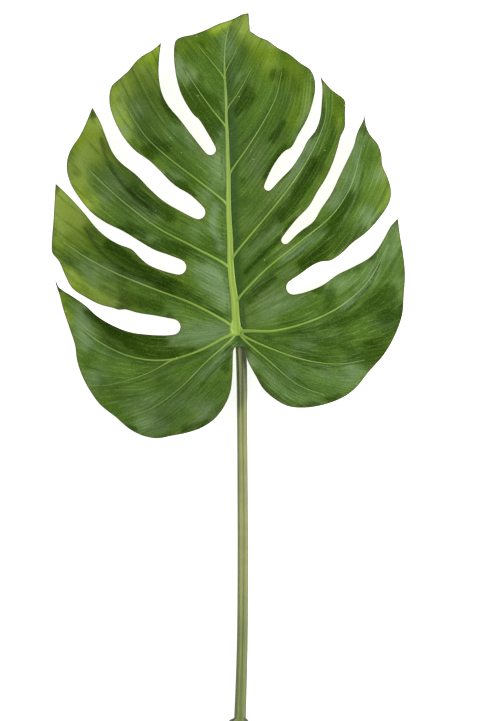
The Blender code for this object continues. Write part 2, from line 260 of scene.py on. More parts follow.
@dataclass(frozen=True)
class Drawing:
    """The leaf in plan: its margin from tip to tip, and its ribs."""

    slit_end_angles: tuple[int, ...] = (80, 60, 40, 20, 0, -20, -40, -60, -80)
    margin: tuple[tuple[Point, ...], ...] = (
        # Top lobe's left crown, first left slit
        ((10.7, 325), (5, 324.2), (-6, 319), (-20, 314), (-32, 308), (-45, 303), (-57, 300.2), (-62, 297),
         (-64, 285), (-62, 263), (-57, 244), (-50, 230.5), (-44, 222), (-39, 217.5), (-31, 205),
         (-27.5, 187.5, 5.5), (-45, 200.5), (-58, 217.5), (-70, 232), (-76, 244.5), (-79, 262),
         (-78.6, 279), (-76.7, 294.5)),
        # Second left lobe and slit
        ((-76.7, 294.5), (-85, 287.5), (-96, 281), (-103, 274.5), (-109, 267), (-119, 258.5), (-126, 252),
         (-128.4, 244), (-128, 232), (-123, 216.5), (-114, 200), (-103, 187), (-88, 176), (-77, 165.5),
         (-68, 156), (-60, 149.5), (-48, 142.5), (-39.5, 125, 7), (-58, 126.5), (-74, 136), (-88, 148.5),
         (-101, 162), (-117, 175), (-125, 185), (-131.5, 200), (-137.5, 215.5), (-145.5, 230.5)),
        # Third left lobe and slit
        ((-145.5, 230.5), (-151, 217), (-158, 203), (-167, 190), (-171, 179), (-171.2, 167),
         (-167.5, 154.5), (-159, 140.5), (-146, 125), (-132, 115), (-114, 106), (-97, 95.5), (-83, 87.5),
         (-69, 82.5), (-59, 70.5, 7.5), (-78, 68), (-90, 73.5), (-98, 80.5), (-106, 88.3), (-118, 93),
         (-131, 100.5), (-142, 110.5), (-153, 124), (-168, 140.5), (-182.8, 155)),
        # Fourth left lobe and slit
        ((-182.8, 155), (-183.5, 140), (-185.2, 116), (-186.8, 94), (-186.2, 85.5), (-179.5, 77),
         (-173, 62.5), (-166, 50), (-152, 40.5), (-138, 33.5), (-125, 30), (-118.5, 28), (-113, 28.5),
         (-100, 25), (-83, 22.3), (-71, 20), (-65, 11, 7.7), (-72, 2.6), (-88, 3.2), (-108, 6),
         (-126, 13), (-141, 22), (-153, 32.7), (-166, 41.8), (-174.2, 46.9), (-179.7, 51.2),
         (-181.4, 54.5), (-183.8, 60.2)),
        # Left basal lobe, the notch over the stalk, right basal lobe
        ((-183.8, 60.2), (-182.3, 53), (-178.9, 43), (-175.6, 30), (-169, 10), (-163.5, -7),
         (-161.5, -22), (-156.5, -37.5), (-148, -53.5), (-138, -67), (-123, -79), (-109, -91), (-95, -98),
         (-81, -100.5), (-67, -98), (-50, -94.5), (-35, -89), (-23, -80.5), (-13, -67), (-7.5, -53),
         (-5.6, -37), (-5.2, -22), (-4.7, -13), (-3.4, -9.8), (-1, -9), (2, -9), (5, -9), (7.2, -9.9),
         (8.2, -14), (9.2, -21.5), (13.3, -30), (18, -38.5), (25, -50.5), (36, -60.5), (50, -68),
         (67, -69.7), (87, -66.5), (104, -60), (117, -51), (131, -34), (146, -17), (157, 2), (164.5, 23),
         (166.3, 43), (167.5, 65), (165.5, 85), (162.5, 103), (160, 120)),
        # Third right slit and lobe, counted from the apex
        ((160, 120), (153, 112), (147, 101), (139, 88), (131, 80), (115, 71), (99, 63), (84, 52.5),
         (67, 45.5), (55.3, 50.3, 7.2), (62, 63.5), (73, 71.5), (82, 75.7), (92, 77), (103, 84),
         (114, 94.5), (129, 106), (143, 122), (151.5, 136), (153.2, 147), (150, 160), (144.5, 173),
         (143.4, 184), (140.2, 193.5), (131.8, 204), (128.4, 211), (127, 218.5), (125.9, 226)),
        # Second right slit and lobe
        ((125.9, 226), (125.3, 218.5), (120.6, 208.7), (118, 201.5), (116, 193), (109.3, 178), (101, 161),
         (93, 144), (83, 129), (75, 116), (62, 106), (47, 97.2, 3.9), (57, 116.5), (71, 131.5),
         (79, 145.5), (88, 160), (95, 176), (99.5, 190), (102.5, 201), (106.5, 210), (107, 224),
         (107, 236.5), (104, 240.5), (95, 247), (87, 255), (82, 261.5)),
        # First right slit, top lobe's right crown
        ((82, 261.5), (84, 250), (83.5, 235), (81.5, 218), (77, 206.5), (69, 196), (63, 184), (53, 169),
         (42, 157.5), (30, 150.4, 4), (34, 169), (42, 181), (47, 186), (53, 189.5), (60, 202),
         (69, 218.5), (75, 237), (77.2, 254), (72.5, 267), (62, 274.5), (51, 283.5), (39, 290),
         (30, 296.7), (20, 301.2), (12, 307)),
        # Right side of the apex
        ((12, 307), (11.2, 318), (10.7, 325)),
    )
    midrib: Vein = Vein(((-0.3, 2.2), (-2.3, 20), (-3.3, 36), (-6, 57), (-7.5, 75), (-8.0, 98),
                         (-9.1, 120), (-9.6, 140), (-9.6, 160), (-10.4, 180), (-10.8, 200),
                         (-11.7, 220), (-12.1, 240), (-13.3, 260), (-13.5, 282), (-12.2, 298),
                         (-9, 312)), 8.8, 0.9, 0.86)
    left_veins: tuple[Vein, ...] = (
        Vein(((-11, 208), (-27.3, 229.5), (-44, 253.3), (-58.3, 277.2)), 2.0, 0.5),
        Vein(((-11, 132.5), (-38, 155), (-67.3, 177.7), (-91.6, 200.3), (-110, 228), (-117, 242)),
             2.7, 0.5),
        Vein(((-9, 70), (-43.8, 90.3), (-78.3, 108.5), (-108, 130.5), (-138.4, 157.6),
              (-162.2, 182.8)), 3.0, 0.8),
        Vein(((-6.5, 12), (-43.3, 33), (-83, 48.5), (-123.2, 65.2), (-153, 81.2), (-176, 97)), 3.2, 1.0),
        Vein(((-4, 4), (-13.6, 0.4), (-38.2, -12.4), (-73, -22.2), (-108, -18.5), (-139, -4),
              (-167.4, 17.6)), 3.2, 1.0),
        Vein(((-4, 2), (-33, -25), (-58, -50), (-84, -69), (-108, -78.5)), 2.2, 0.5),
    )
    right_veins: tuple[Vein, ...] = (
        Vein(((-8.6, 163), (9, 189), (25.4, 215.3), (38, 241), (43.8, 266)), 2.2, 0.5),
        Vein(((-6, 79), (-2.4, 84.6), (32.4, 126.2), (59.4, 161.7), (78, 194.4), (87.2, 220.3),
              (88.2, 240)), 2.8, 0.5),
        Vein(((-2, 35), (0.8, 40), (27.4, 68), (62, 96), (95, 124), (113, 152.6), (123.8, 190.2)),
             3.0, 0.5),
        Vein(((3, 6), (37, 7.3), (70, 16), (102, 31.5), (130, 56.5), (150, 92.5)), 3.6, 0.5),
        Vein(((3, 4), (37, -12.3), (72, -23), (102, -26), (127, -22)), 2.6, 0.5),
        Vein(((3, 2), (32, -24), (60, -46.8), (86.6, -57)), 2.2, 0.5),
    )
    plate: tuple[Vein, ...] = (
        Vein(((-5.4, 18), (-6.4, 9), (-5.0, 3.4)), 1.0, 5.4),
        Vein(((2.0, 12), (3.4, 7.5), (3.0, 3.4)), 0.8, 4.2),
    )
    side_veins: tuple[Vein, ...] = (
        Vein(((-13.5, 258.5), (-29, 279), (-40, 292)), 1.4, 0.5),
        Vein(((-11.4, 226.8), (1.5, 246.6), (13.5, 269)), 1.5, 0.5),
        Vein(((-66, -22), (-90, -35), (-118, -44.5), (-137, -48)), 1.6, 0.5),
        Vein(((-13.3, 264), (-9.3, 273), (-4.5, 281.5), (-1.5, 290)), 1.2, 0.5),
    )

    def main_veins(self) -> tuple[Vein, ...]:
        """Returns the side ribs of both halves."""
        return (*self.left_veins, *self.right_veins)

    def all_veins(self) -> tuple[Vein, ...]:
        """Returns the midrib and every side rib."""
        return (self.midrib, *self.main_veins(), *self.side_veins)

    def veins_of(self, side: Side) -> tuple[Vein, ...]:
        """Picks the ribs that the grain of one half follows.

        Args:
            side: The half of the blade.

        Returns:
            The ribs, from the apex down.
        """
        if side is Side.LEFT:
            return (self.side_veins[0], *self.left_veins)
        return (self.side_veins[1], *self.right_veins)

    def with_round_ends(self, run: Sequence[Point]) -> list[Point]:
        """Writes out the round inner end of a slit.

        Args:
            run: Points of the margin, where one of three numbers is a circle's centre and radius.

        Returns:
            The run with each circle as points on it.
        """
        made: list[Point] = []
        for index, point in enumerate(run):
            if len(point) == 2:
                made.append(point)
                continue
            centre = np.array(point[:2], float)
            mouth = (np.array(run[index - 1][:2]) + np.array(run[index + 1][:2])) / 2
            inwards = math.atan2(centre[1] - mouth[1], centre[0] - mouth[0])
            for degrees in self.slit_end_angles:
                angle = inwards + math.radians(degrees)
                made.append(tuple(centre + point[2] * np.array([math.cos(angle), math.sin(angle)])))
        return made

    def ring(self, step: float) -> np.ndarray:
        """Returns the whole margin as one closed ring of points at this spacing, anticlockwise."""
        return np.concatenate([smooth_line(self.with_round_ends(run), step)[:-1] for run in self.margin])

    def margin_distance(self, step: float, points: np.ndarray) -> np.ndarray:
        """Returns how far plan points lie from the margin, drawn at this spacing."""
        ring = self.ring(step)
        return nearest_on(np.concatenate([ring, ring[:1]]), points).distance


@dataclass(frozen=True)
class Relief:
    """The blade's waved form: the height of its upper face over the surface that it lies on."""

    drawing: Drawing
    line_step: float = 3.0
    thickness: float = 0.8
    # y and height along the midrib, from the lowest lobes to the apex
    midrib_heights: tuple[Point, ...] = (
        (-110, 11), (-40, 14), (0, 16.5), (60, 24), (130, 29), (200, 26), (270, 17), (330, 4))
    valley_rise: float = 9.0
    valley_reach: float = 26.0
    half_span: float = 150.0
    droop: float = 30.0
    gutter_slope: float = 0.27
    gutter_sharpness: float = 3.0
    gutter_blend: float = 5.0
    gutter_start: float = 12.0
    gutter_full: float = 70.0
    ripple_height: float = 1.5
    ripple_wave: float = 64.0
    ripple_slant: float = 0.6
    ripple_cross_wave: float = 80.0
    side_vein_depth: float = 1.0
    side_vein_reach: float = 8.0
    floor_blend: float = 2.5
    keel_depth: float = 4.0
    keel_full_width: float = 9.0
    keel_spread: float = 1.6
    keel_start: Pair = (6.0, 34.0)

    def keel(self, points: np.ndarray) -> np.ndarray:
        """Works out how much thicker the blade is under its ribs.

        Args:
            points: Plan points.

        Returns:
            The keels' depth at each.
        """
        keel = np.zeros(len(points))
        for vein in self.drawing.all_veins():
            near = nearest_on(vein.line(self.line_step), points)
            width = vein.width(near.share)
            place = near.distance / (width / 2)
            depth = self.keel_depth * width / self.keel_full_width
            keel = np.maximum(keel, depth * np.clip(1 - (place / self.keel_spread) ** 2, 0, 1))
        return keel * eased(np.hypot(points[:, 0], points[:, 1]), *self.keel_start)

    def height(self, points: np.ndarray) -> np.ndarray:
        """Works out the blade's form.

        Args:
            points: Plan points.

        Returns:
            The height of the upper face over each, with the underside clear of the surface.
        """
        distance = nearest_on(self.drawing.midrib.line(self.line_step), points).distance
        knots = smooth_line(self.midrib_heights, self.line_step)
        height = np.interp(points[:, 1], knots[:, 0], knots[:, 1])
        height += self.valley_rise * (1 - np.exp(-distance / self.valley_reach))
        height -= self.droop * (distance / self.half_span) ** 2
        nearness = np.zeros(len(points))
        for vein in self.drawing.main_veins():
            away = nearest_on(vein.line(self.line_step), points).distance
            nearness += np.exp(-away / self.gutter_blend)
        away = np.maximum(-self.gutter_blend * np.log(nearness), 0)
        gutter = np.sqrt(away**2 + self.gutter_sharpness**2) - self.gutter_sharpness
        spread = eased(distance, self.gutter_start, self.gutter_full)
        height += self.gutter_slope * gutter * spread
        for vein in self.drawing.side_veins:
            away = nearest_on(vein.line(self.line_step), points).distance
            height -= self.side_vein_depth * np.exp(-((away / self.side_vein_reach) ** 2))
        turn = 2 * math.pi
        ripple = np.sin(turn / self.ripple_wave * (points[:, 0] + self.ripple_slant * points[:, 1]))
        ripple *= np.cos(turn / self.ripple_cross_wave * points[:, 1])
        height += self.ripple_height * ripple * spread
        least = self.thickness + self.keel(points)
        under = height - least
        return least + 0.5 * (under + np.sqrt(under**2 + self.floor_blend**2))


@dataclass(frozen=True)
class Place:
    """Where the drawing's origin lies in the frame, in millimetres."""

    x: float
    y: float

    def vertices(self, plan: np.ndarray, heights: np.ndarray) -> np.ndarray:
        """Returns points of the frame, in metres, for plan points and heights in millimetres."""
        return np.column_stack([plan[:, 0] + self.x, plan[:, 1] + self.y, heights]) * MM


def inside(ring: np.ndarray, points: np.ndarray) -> np.ndarray:
    """Tells which points lie inside a ring.

    Args:
        ring: The ring's points.
        points: The points to test.

    Returns:
        True for each point inside.
    """
    crossings = np.zeros(len(points), int)
    for start, end in zip(ring, np.roll(ring, -1, axis=0)):
        rise = end[1] - start[1]
        if rise:
            spans = (start[1] > points[:, 1]) != (end[1] > points[:, 1])
            x = start[0] + (points[:, 1] - start[1]) * (end[0] - start[0]) / rise
            crossings += spans & (points[:, 0] < x)
    return crossings % 2 == 1


def mesh_object(name: str, vertices: np.ndarray, faces: Sequence[Sequence[int]]) -> bpy.types.Object:
    """Makes a smooth-shaded mesh object.

    Args:
        name: The object's name.
        vertices: Points in metres.
        faces: Corner numbers of each face.

    Returns:
        The object, linked to the scene.
    """
    mesh = bpy.data.meshes.new(name)
    mesh.from_pydata([tuple(v) for v in vertices], [], [tuple(f) for f in faces])
    mesh.validate()
    mesh.shade_smooth()
    made = bpy.data.objects.new(name, mesh)
    bpy.context.scene.collection.objects.link(made)
    return made


def add_numbers(
    piece: bpy.types.Object, name: str, columns: Sequence[np.ndarray], domain: str = "POINT"
) -> None:
    """Stores three numbers at each point or face corner of a mesh, for its material to read.

    Args:
        piece: The mesh object.
        name: The attribute's name.
        columns: Three arrays, one number for each point or corner.
        domain: POINT or CORNER.
    """
    made = piece.data.attributes.new(name, "FLOAT_VECTOR", domain)
    made.data.foreach_set("vector", np.column_stack(columns).astype(np.float32).ravel())


def give_materials(
    piece: bpy.types.Object, main: bpy.types.Material, other: bpy.types.Material, start: int, count: int
) -> None:
    """Gives a mesh two materials.

    Args:
        piece: The mesh object.
        main: The material of most faces.
        other: The material of one run of faces.
        start: The number of that run's first face.
        count: How many faces the run has.
    """
    piece.data.materials.append(main)
    piece.data.materials.append(other)
    slots = np.zeros(len(piece.data.polygons), np.int32)
    slots[start : start + count] = 1
    piece.data.polygons.foreach_set("material_index", slots)


@dataclass(frozen=True)
class Tint:
    """A colour to lay over another, and how strongly it covers."""

    colour: Colour
    weight: float


@dataclass(frozen=True)
class Band(Tint):
    """A tint that shows where a number has passed from low to high."""

    low: float
    high: float


class Graph:
    """Adds nodes to one node tree and joins them."""

    def __init__(self, tree: bpy.types.NodeTree) -> None:
        """Keeps the tree that nodes are added to."""
        self.tree = tree

    def add(
        self, kind: str, inputs: dict[str | int, object] | None = None, **settings: object
    ) -> bpy.types.Node:
        """Adds a node.

        Args:
            kind: The node's type.
            inputs: For each input, a socket to link or a value to set.
            settings: The node's own settings.

        Returns:
            The node.
        """
        node = self.tree.nodes.new(kind)
        for key, setting in settings.items():
            setattr(node, key, setting)
        for key, value in (inputs or {}).items():
            if isinstance(value, bpy.types.NodeSocket):
                self.link(value, node.inputs[key])
            else:
                node.inputs[key].default_value = value
        return node

    def link(self, source: bpy.types.NodeSocket, target: bpy.types.NodeSocket) -> None:
        """Joins an output to an input."""
        self.tree.links.new(source, target)

    def math(self, operation: str, *values: object, clamp: bool = False) -> bpy.types.NodeSocket:
        """Returns the result of a Math node on sockets or numbers."""
        node = self.add("ShaderNodeMath", dict(enumerate(values)), operation=operation, use_clamp=clamp)
        return node.outputs[0]

    def scaled(self, value: object, factor: object) -> bpy.types.NodeSocket:
        """Returns a number times a factor."""
        return self.math("MULTIPLY", value, factor)

    def scaled_plus(
        self, value: object, factor: object, added: object, clamp: bool = False
    ) -> bpy.types.NodeSocket:
        """Returns a number times a factor, plus another number."""
        return self.math("MULTIPLY_ADD", value, factor, added, clamp=clamp)

    def weighted(self, first: object, weight: float, second: object, other: float) -> bpy.types.NodeSocket:
        """Returns the sum of two numbers, each times its own weight."""
        return self.scaled_plus(first, weight, self.scaled(second, other))

    def step(self, value: object, low: object, high: object) -> bpy.types.NodeSocket:
        """Steps smoothly from 0 to 1.

        Args:
            value: The number to place.
            low: Where the step starts.
            high: Where it is complete; it may lie below low.

        Returns:
            The step's socket.
        """
        node = self.add(
            "ShaderNodeMapRange",
            {"Value": value, "From Min": low, "From Max": high},
            interpolation_type="SMOOTHSTEP",
        )
        return node.outputs[0]

    def mix(self, factor: object, first: object, second: object) -> bpy.types.NodeSocket:
        """Returns the mix of two colours by a factor."""
        # The node's colour inputs are its sixth and seventh, counted from 0, and its output the second
        node = self.add("ShaderNodeMix", {0: factor, 6: first, 7: second}, data_type="RGBA")
        return node.outputs[2]

    def tinted(self, colour: object, mask: object, tint: Tint) -> bpy.types.NodeSocket:
        """Returns a colour with a tint laid over it where a mask is 1."""
        return self.mix(self.scaled(mask, tint.weight), colour, tint.colour)

    def banded(self, colour: object, value: object, band: Band) -> bpy.types.NodeSocket:
        """Returns a colour with a band laid over it where a number has passed from low to high."""
        return self.tinted(colour, self.step(value, band.low, band.high), band)

    def vector(self, x: object, y: object, z: object = 0.0) -> bpy.types.NodeSocket:
        """Returns a vector of three sockets or numbers."""
        return self.add("ShaderNodeCombineXYZ", {0: x, 1: y, 2: z}).outputs[0]

    def numbers(self, name: str) -> list[bpy.types.NodeSocket]:
        """Reads the three numbers that a mesh stores under a name.

        Args:
            name: The attribute's name.

        Returns:
            A socket for each number.
        """
        read = self.add("ShaderNodeAttribute", attribute_name=name)
        parts = self.add("ShaderNodeSeparateXYZ", {0: read.outputs["Vector"]})
        return list(parts.outputs)

    def noise(self, place: object, scale: object, detail: float) -> bpy.types.NodeSocket:
        """Returns soft noise at a place."""
        node = self.add("ShaderNodeTexNoise", {"Vector": place, "Scale": scale, "Detail": detail})
        return node.outputs["Fac"]

    def own_place(self) -> bpy.types.NodeSocket:
        """Returns the place on the object in its own metres."""
        return self.add("ShaderNodeTexCoord").outputs["Object"]

    def cells(self, scale: float) -> bpy.types.NodeSocket:
        """Returns the distance to the nearest of many strewn points."""
        node = self.add("ShaderNodeTexVoronoi", {"Vector": self.own_place(), "Scale": scale})
        return node.outputs["Distance"]

    def bumped(self, shader: bpy.types.Node, height: object, strength: float, distance: float) -> None:
        """Gives a shader fine relief from a height, up to a distance in metres."""
        inputs = {"Height": height, "Strength": strength, "Distance": distance}
        self.link(self.add("ShaderNodeBump", inputs).outputs[0], shader.inputs["Normal"])


@dataclass(frozen=True)
class Fibres:
    """How a fibre grain lies: its scale across and along, its seed, its line width and its wander."""

    across: float
    along: float
    seed: float
    thin: float
    wander: float


@dataclass(frozen=True)
class Mottle:
    """How a mottle lies: its scale, and the noise at which a patch starts and is full."""

    scale: float
    low: float
    high: float


class Effects:
    """Surface effects that several of the leaf's materials share, each as a node group."""

    band_across: float = 0.55
    band_edges: Pair = (0.34, 0.66)
    bend_across: float = 0.3
    bend_along: float = 0.8
    bend_seed: float = 5.0
    break_across: float = 3.7
    break_along: float = 3.2
    break_seed: float = 11.0
    break_edges: Pair = (0.36, 0.64)
    grain_scale: float = 40.0

    def __init__(self) -> None:
        """Builds both groups."""
        self.fibre_group = self.build_fibres()
        self.mottle_group = self.build_mottle()

    def new_group(
        self, name: str, inputs: Sequence[str], outputs: Sequence[str]
    ) -> tuple[Graph, dict, dict]:
        """Starts a node group of plain numbers.

        Args:
            name: The group's name.
            inputs: Names of its inputs.
            outputs: Names of its outputs.

        Returns:
            The group's graph, its inputs' sockets and its outputs' sockets by name.
        """
        tree = bpy.data.node_groups.new(name, "ShaderNodeTree")
        for label in inputs:
            tree.interface.new_socket(label, in_out="INPUT", socket_type="NodeSocketFloat")
        for label in outputs:
            tree.interface.new_socket(label, in_out="OUTPUT", socket_type="NodeSocketFloat")
        graph = Graph(tree)
        start = graph.add("NodeGroupInput")
        finish = graph.add("NodeGroupOutput")
        return (
            graph,
            {label: start.outputs[label] for label in inputs},
            {label: finish.inputs[label] for label in outputs},
        )

    def build_fibres(self) -> bpy.types.NodeTree:
        """Builds a grain that runs along a surface: soft bands, and fine broken lines one unit apart.

        Returns:
            The node group.
        """
        graph, given, made = self.new_group(
            "fibre_streaks", ("Across", "Along", "Seed", "Thin", "Wander"), ("Bands", "Hairlines")
        )
        across, along, seed = given["Across"], given["Along"], given["Seed"]
        broad = graph.vector(graph.scaled(across, self.band_across), along, seed)
        bands = graph.noise(broad, 1.0, 2.0)
        bend = graph.vector(
            graph.scaled(across, self.bend_across),
            graph.scaled(along, self.bend_along),
            graph.math("ADD", seed, self.bend_seed),
        )
        place = graph.scaled_plus(graph.noise(bend, 1.0, 1.0), given["Wander"], across)
        ridge = graph.step(graph.math("PINGPONG", place, 0.5), given["Thin"], 0.0)
        gaps = graph.vector(
            graph.scaled(graph.math("ROUND", place), self.break_across),
            graph.scaled(along, self.break_along),
            graph.math("ADD", seed, self.break_seed),
        )
        breaks = graph.step(graph.noise(gaps, 1.0, 1.0), *self.break_edges)
        graph.link(graph.step(bands, *self.band_edges), made["Bands"])
        graph.link(graph.scaled(ridge, breaks), made["Hairlines"])
        return graph.tree

    def build_mottle(self) -> bpy.types.NodeTree:
        """Builds uneven colour over a surface, in patches and in grain.

        Returns:
            The node group.
        """
        graph, given, made = self.new_group("mottle", ("Scale", "Low", "High"), ("Patches", "Grain"))
        place = graph.own_place()
        broad = graph.noise(place, given["Scale"], 3.0)
        grain = graph.noise(place, graph.scaled(given["Scale"], self.grain_scale), 2.0)
        graph.link(graph.step(broad, given["Low"], given["High"]), made["Patches"])
        graph.link(grain, made["Grain"])
        return graph.tree

    def fibres(
        self, graph: Graph, look: Fibres, across: object, along: object, seed: object = None
    ) -> tuple[bpy.types.NodeSocket, bpy.types.NodeSocket]:
        """Lays a fibre grain on a material.

        Args:
            graph: The material's graph.
            look: How the grain lies.
            across: The place across the fibres.
            along: The place along the fibres.
            seed: A socket in place of the look's own seed, or None.

        Returns:
            The soft bands and the fine broken lines.
        """
        inputs = {
            "Across": graph.scaled(across, look.across),
            "Along": graph.scaled(along, look.along),
            "Seed": look.seed if seed is None else seed,
            "Thin": look.thin,
            "Wander": look.wander,
        }
        made = graph.add("ShaderNodeGroup", inputs, node_tree=self.fibre_group)
        return made.outputs["Bands"], made.outputs["Hairlines"]

    def mottle(self, graph: Graph, look: Mottle) -> tuple[bpy.types.NodeSocket, bpy.types.NodeSocket]:
        """Lays a mottle on a material.

        Args:
            graph: The material's graph.
            look: How the mottle lies.

        Returns:
            Its patches and its grain.
        """
        inputs = {"Scale": look.scale, "Low": look.low, "High": look.high}
        made = graph.add("ShaderNodeGroup", inputs, node_tree=self.mottle_group)
        return made.outputs["Patches"], made.outputs["Grain"]


def new_material(
    name: str, roughness: float, gloss: float | None = None
) -> tuple[bpy.types.Material, Graph, bpy.types.Node]:
    """Starts a material.

    Args:
        name: The material's name.
        roughness: Its roughness before any texture.
        gloss: Its specular level, where it isn't the usual one.

    Returns:
        The material, its graph and its shader.
    """
    made = bpy.data.materials.new(name)
    made.use_nodes = True
    shader = made.node_tree.nodes["Principled BSDF"]
    shader.inputs["Roughness"].default_value = roughness
    if gloss is not None:
        shader.inputs["Specular IOR Level"].default_value = gloss
    return made, Graph(made.node_tree), shader


@dataclass(frozen=True)
class UpperFaceFinish:
    """The satin upper face: streaked green and yellower lobe ends, with a painted grey-green sheen and
    painted shade.
    """

    mottle: Mottle = Mottle(24.0, 0.36, 0.64)
    broad: Fibres = Fibres(5.0, 0.02, 1.0, 0.12, 0.9)
    fine: Fibres = Fibres(14.0, 0.03, 7.0, 0.17, 1.8)
    tearing: float = 2.6
    torn_bands: float = 0.6
    torn_edges: Pair = (0.15, 0.85)
    green: Colour = linear("446419")
    fresh: Colour = linear("5e8029")
    fresh_streaks: float = 0.35
    fresh_patches: float = 0.5
    # A bluish cast, partly painted sheen
    cool_and_sheen: Tint = Tint(linear("48693c"), 0.5)
    dust: Tint = Tint(linear("6d7c4f"), 0.55)
    rim: Band = Band(linear("5f7020"), 0.55, 9.0, 1.0)
    yellow: Colour = linear("88a21c")
    tip: Band = Band(linear("9db34c"), 0.5, 0.8, 1.0)
    olive: Tint = Tint(linear("5c7800"), 0.6)
    # Painted sheen: the grey-green reflection of the lamps, laid into the colour
    painted_sheen: Tint = Tint(linear("7b9569"), 0.9)
    sheen_streaks: float = 0.5
    # The deep green of the painted shade in the folds and beside the ribs, also used for the dark gaps and
    # the deep flecks
    dark: Colour = linear("233e00")
    fold_edges: Pair = (0.2, 0.75)
    fold_sharpness: float = 0.5
    fold_weight: float = 0.83
    band_gap: float = 0.25
    band_gap_at_tips: float = -0.2
    # Painted shadow beside the ribs: where it starts and ends, the streaks that break it, and its weight
    rib_shadow_inner: Pair = (2.0, 3.4)
    rib_shadow_outer: Pair = (6.0, 4.4)
    rib_shadow_streaks: Pair = (0.2, 0.8)
    rib_shadow_weight: float = 0.5
    line_weight: float = 0.42
    # Painted shade in the creases, which also sink the relief
    shaded_crease: Tint = Tint(linear("1d3604"), 0.75)
    pale: Colour = linear("93b062")
    veinlet: float = 0.4
    veinlet_in_sheen: float = 0.3
    veinlet_in_folds: float = -0.22
    veinlet_patches: float = 0.5
    fleck_edges: Pair = (0.42, 0.62)
    fleck_light: Tint = Tint(pale, 0.22)
    fleck_deep: Tint = Tint(dark, -0.36)
    # Painted shade in the valley right of the midrib and on the web over the stalk
    valley_shade: Tint = Tint(linear("335328"), 0.5)
    # Painted shade at the ribs' sides
    rib_shade: Band = Band(dark, 0.36, 3.5, 0.0)
    # The margin's dark line: partly the margin's own brown, partly painted shade of the edge
    edge: Band = Band(linear("3a3a1a"), 0.75, 1.3, 0.2)
    speck: Band = Band(linear("c8d2b0"), 1.0, 0.035, 0.015)
    speck_scale: float = 60.0
    roughness: float = 0.42
    roughness_patches: float = 0.12
    gloss: float = 0.1
    gloss_lost_in_folds: float = 0.7
    relief_bands: float = 0.6
    relief_streaks: float = 0.22
    relief_patches: float = 0.5
    relief_grain: float = 0.12
    relief_creases: float = -1.6
    bump: Pair = (1.0, 0.0005)

    def torn_edge(self, graph: Graph, mark: object, texture: object) -> bpy.types.NodeSocket:
        """Breaks up a soft mark's edge along a texture.

        Args:
            graph: The material's graph.
            mark: The mark's strength, from 0 to 1.
            texture: The texture, from 0 to 1.

        Returns:
            The mark with a torn edge.
        """
        between = graph.scaled(mark, graph.math("SUBTRACT", 1.0, mark))
        centred = graph.scaled_plus(texture, self.tearing, -self.tearing / 2)
        return graph.scaled_plus(between, centred, mark, clamp=True)

    def material(self, effects: Effects) -> bpy.types.Material:
        """Makes the material, which reads the blade's grain, tone, place and cast numbers.

        Args:
            effects: The shared surface effects.

        Returns:
            The material.
        """
        made, graph, shader = new_material("upper_face", self.roughness)
        across, along, rib = graph.numbers("grain")
        glow, painted_sheen, shade = graph.numbers("tone")
        margin, shaded_crease, valley_shade_mask = graph.numbers("place")
        olive, cool_and_sheen, dust = graph.numbers("cast")
        patches, grain = effects.mottle(graph, self.mottle)
        bands, creases = effects.fibres(graph, self.broad, across, along)
        streaks, lines = effects.fibres(graph, self.fine, across, along)
        torn = graph.weighted(bands, self.torn_bands, streaks, 1 - self.torn_bands)
        torn = graph.step(torn, *self.torn_edges)
        # Greens, warmer towards the margin and yellow at the lobe ends
        uneven = graph.weighted(streaks, self.fresh_streaks, patches, self.fresh_patches)
        colour = graph.mix(uneven, self.green, self.fresh)
        colour = graph.tinted(colour, self.torn_edge(graph, cool_and_sheen, patches), self.cool_and_sheen)
        colour = graph.tinted(colour, self.torn_edge(graph, dust, streaks), self.dust)
        rim = graph.scaled(graph.step(margin, self.rim.low, self.rim.high), patches)
        colour = graph.tinted(colour, rim, self.rim)
        tips = self.torn_edge(graph, glow, torn)
        colour = graph.mix(tips, colour, graph.mix(patches, self.yellow, self.tip.colour))
        colour = graph.banded(colour, glow, self.tip)
        colour = graph.tinted(colour, self.torn_edge(graph, olive, torn), self.olive)
        # Painted grey-green sheen, then painted shade in the folds, and the dark gaps between the fibre
        # bands
        soft = graph.weighted(streaks, self.sheen_streaks, patches, 1 - self.sheen_streaks)
        sheen_mask = self.torn_edge(graph, painted_sheen, soft)
        colour = graph.tinted(colour, sheen_mask, self.painted_sheen)
        # Painted shade in the folds, with torn and partly sharpened edges
        fold_shade = self.torn_edge(graph, shade, torn)
        sharp = graph.step(fold_shade, *self.fold_edges)
        fold_shade = graph.weighted(sharp, self.fold_sharpness, fold_shade, 1 - self.fold_sharpness)
        gap = graph.scaled_plus(tips, self.band_gap_at_tips, self.band_gap)
        between = graph.scaled(graph.math("SUBTRACT", 1.0, bands), gap)
        between = graph.scaled_plus(fold_shade, self.fold_weight, between, clamp=True)
        colour = graph.mix(between, colour, self.dark)
        # Painted shadow lines beside the ribs, dark lines along the fibres, and painted shade in the
        # creases
        rib_shadow = graph.scaled(graph.step(rib, *self.rib_shadow_inner), graph.step(rib, *self.rib_shadow_outer))
        rib_shadow = graph.scaled(rib_shadow, graph.step(streaks, *self.rib_shadow_streaks))
        rib_shadow = graph.scaled(rib_shadow, self.rib_shadow_weight)
        lined = graph.math("MAXIMUM", rib_shadow, graph.scaled(creases, self.line_weight))
        colour = graph.mix(lined, colour, self.dark)
        colour = graph.tinted(colour, shaded_crease, self.shaded_crease)
        # Pale veinlets and flecks
        seen = graph.scaled_plus(sheen_mask, self.veinlet_in_sheen, self.veinlet)
        seen = graph.scaled(graph.scaled_plus(fold_shade, self.veinlet_in_folds, seen), lines)
        uneven = graph.scaled_plus(patches, self.veinlet_patches, 1 - self.veinlet_patches)
        colour = graph.mix(graph.scaled(seen, uneven), colour, self.pale)
        fleck = graph.math("SUBTRACT", graph.step(grain, *self.fleck_edges), 0.5)
        colour = graph.tinted(colour, graph.math("MAXIMUM", fleck, 0.0), self.fleck_light)
        colour = graph.tinted(colour, graph.math("MINIMUM", fleck, 0.0), self.fleck_deep)
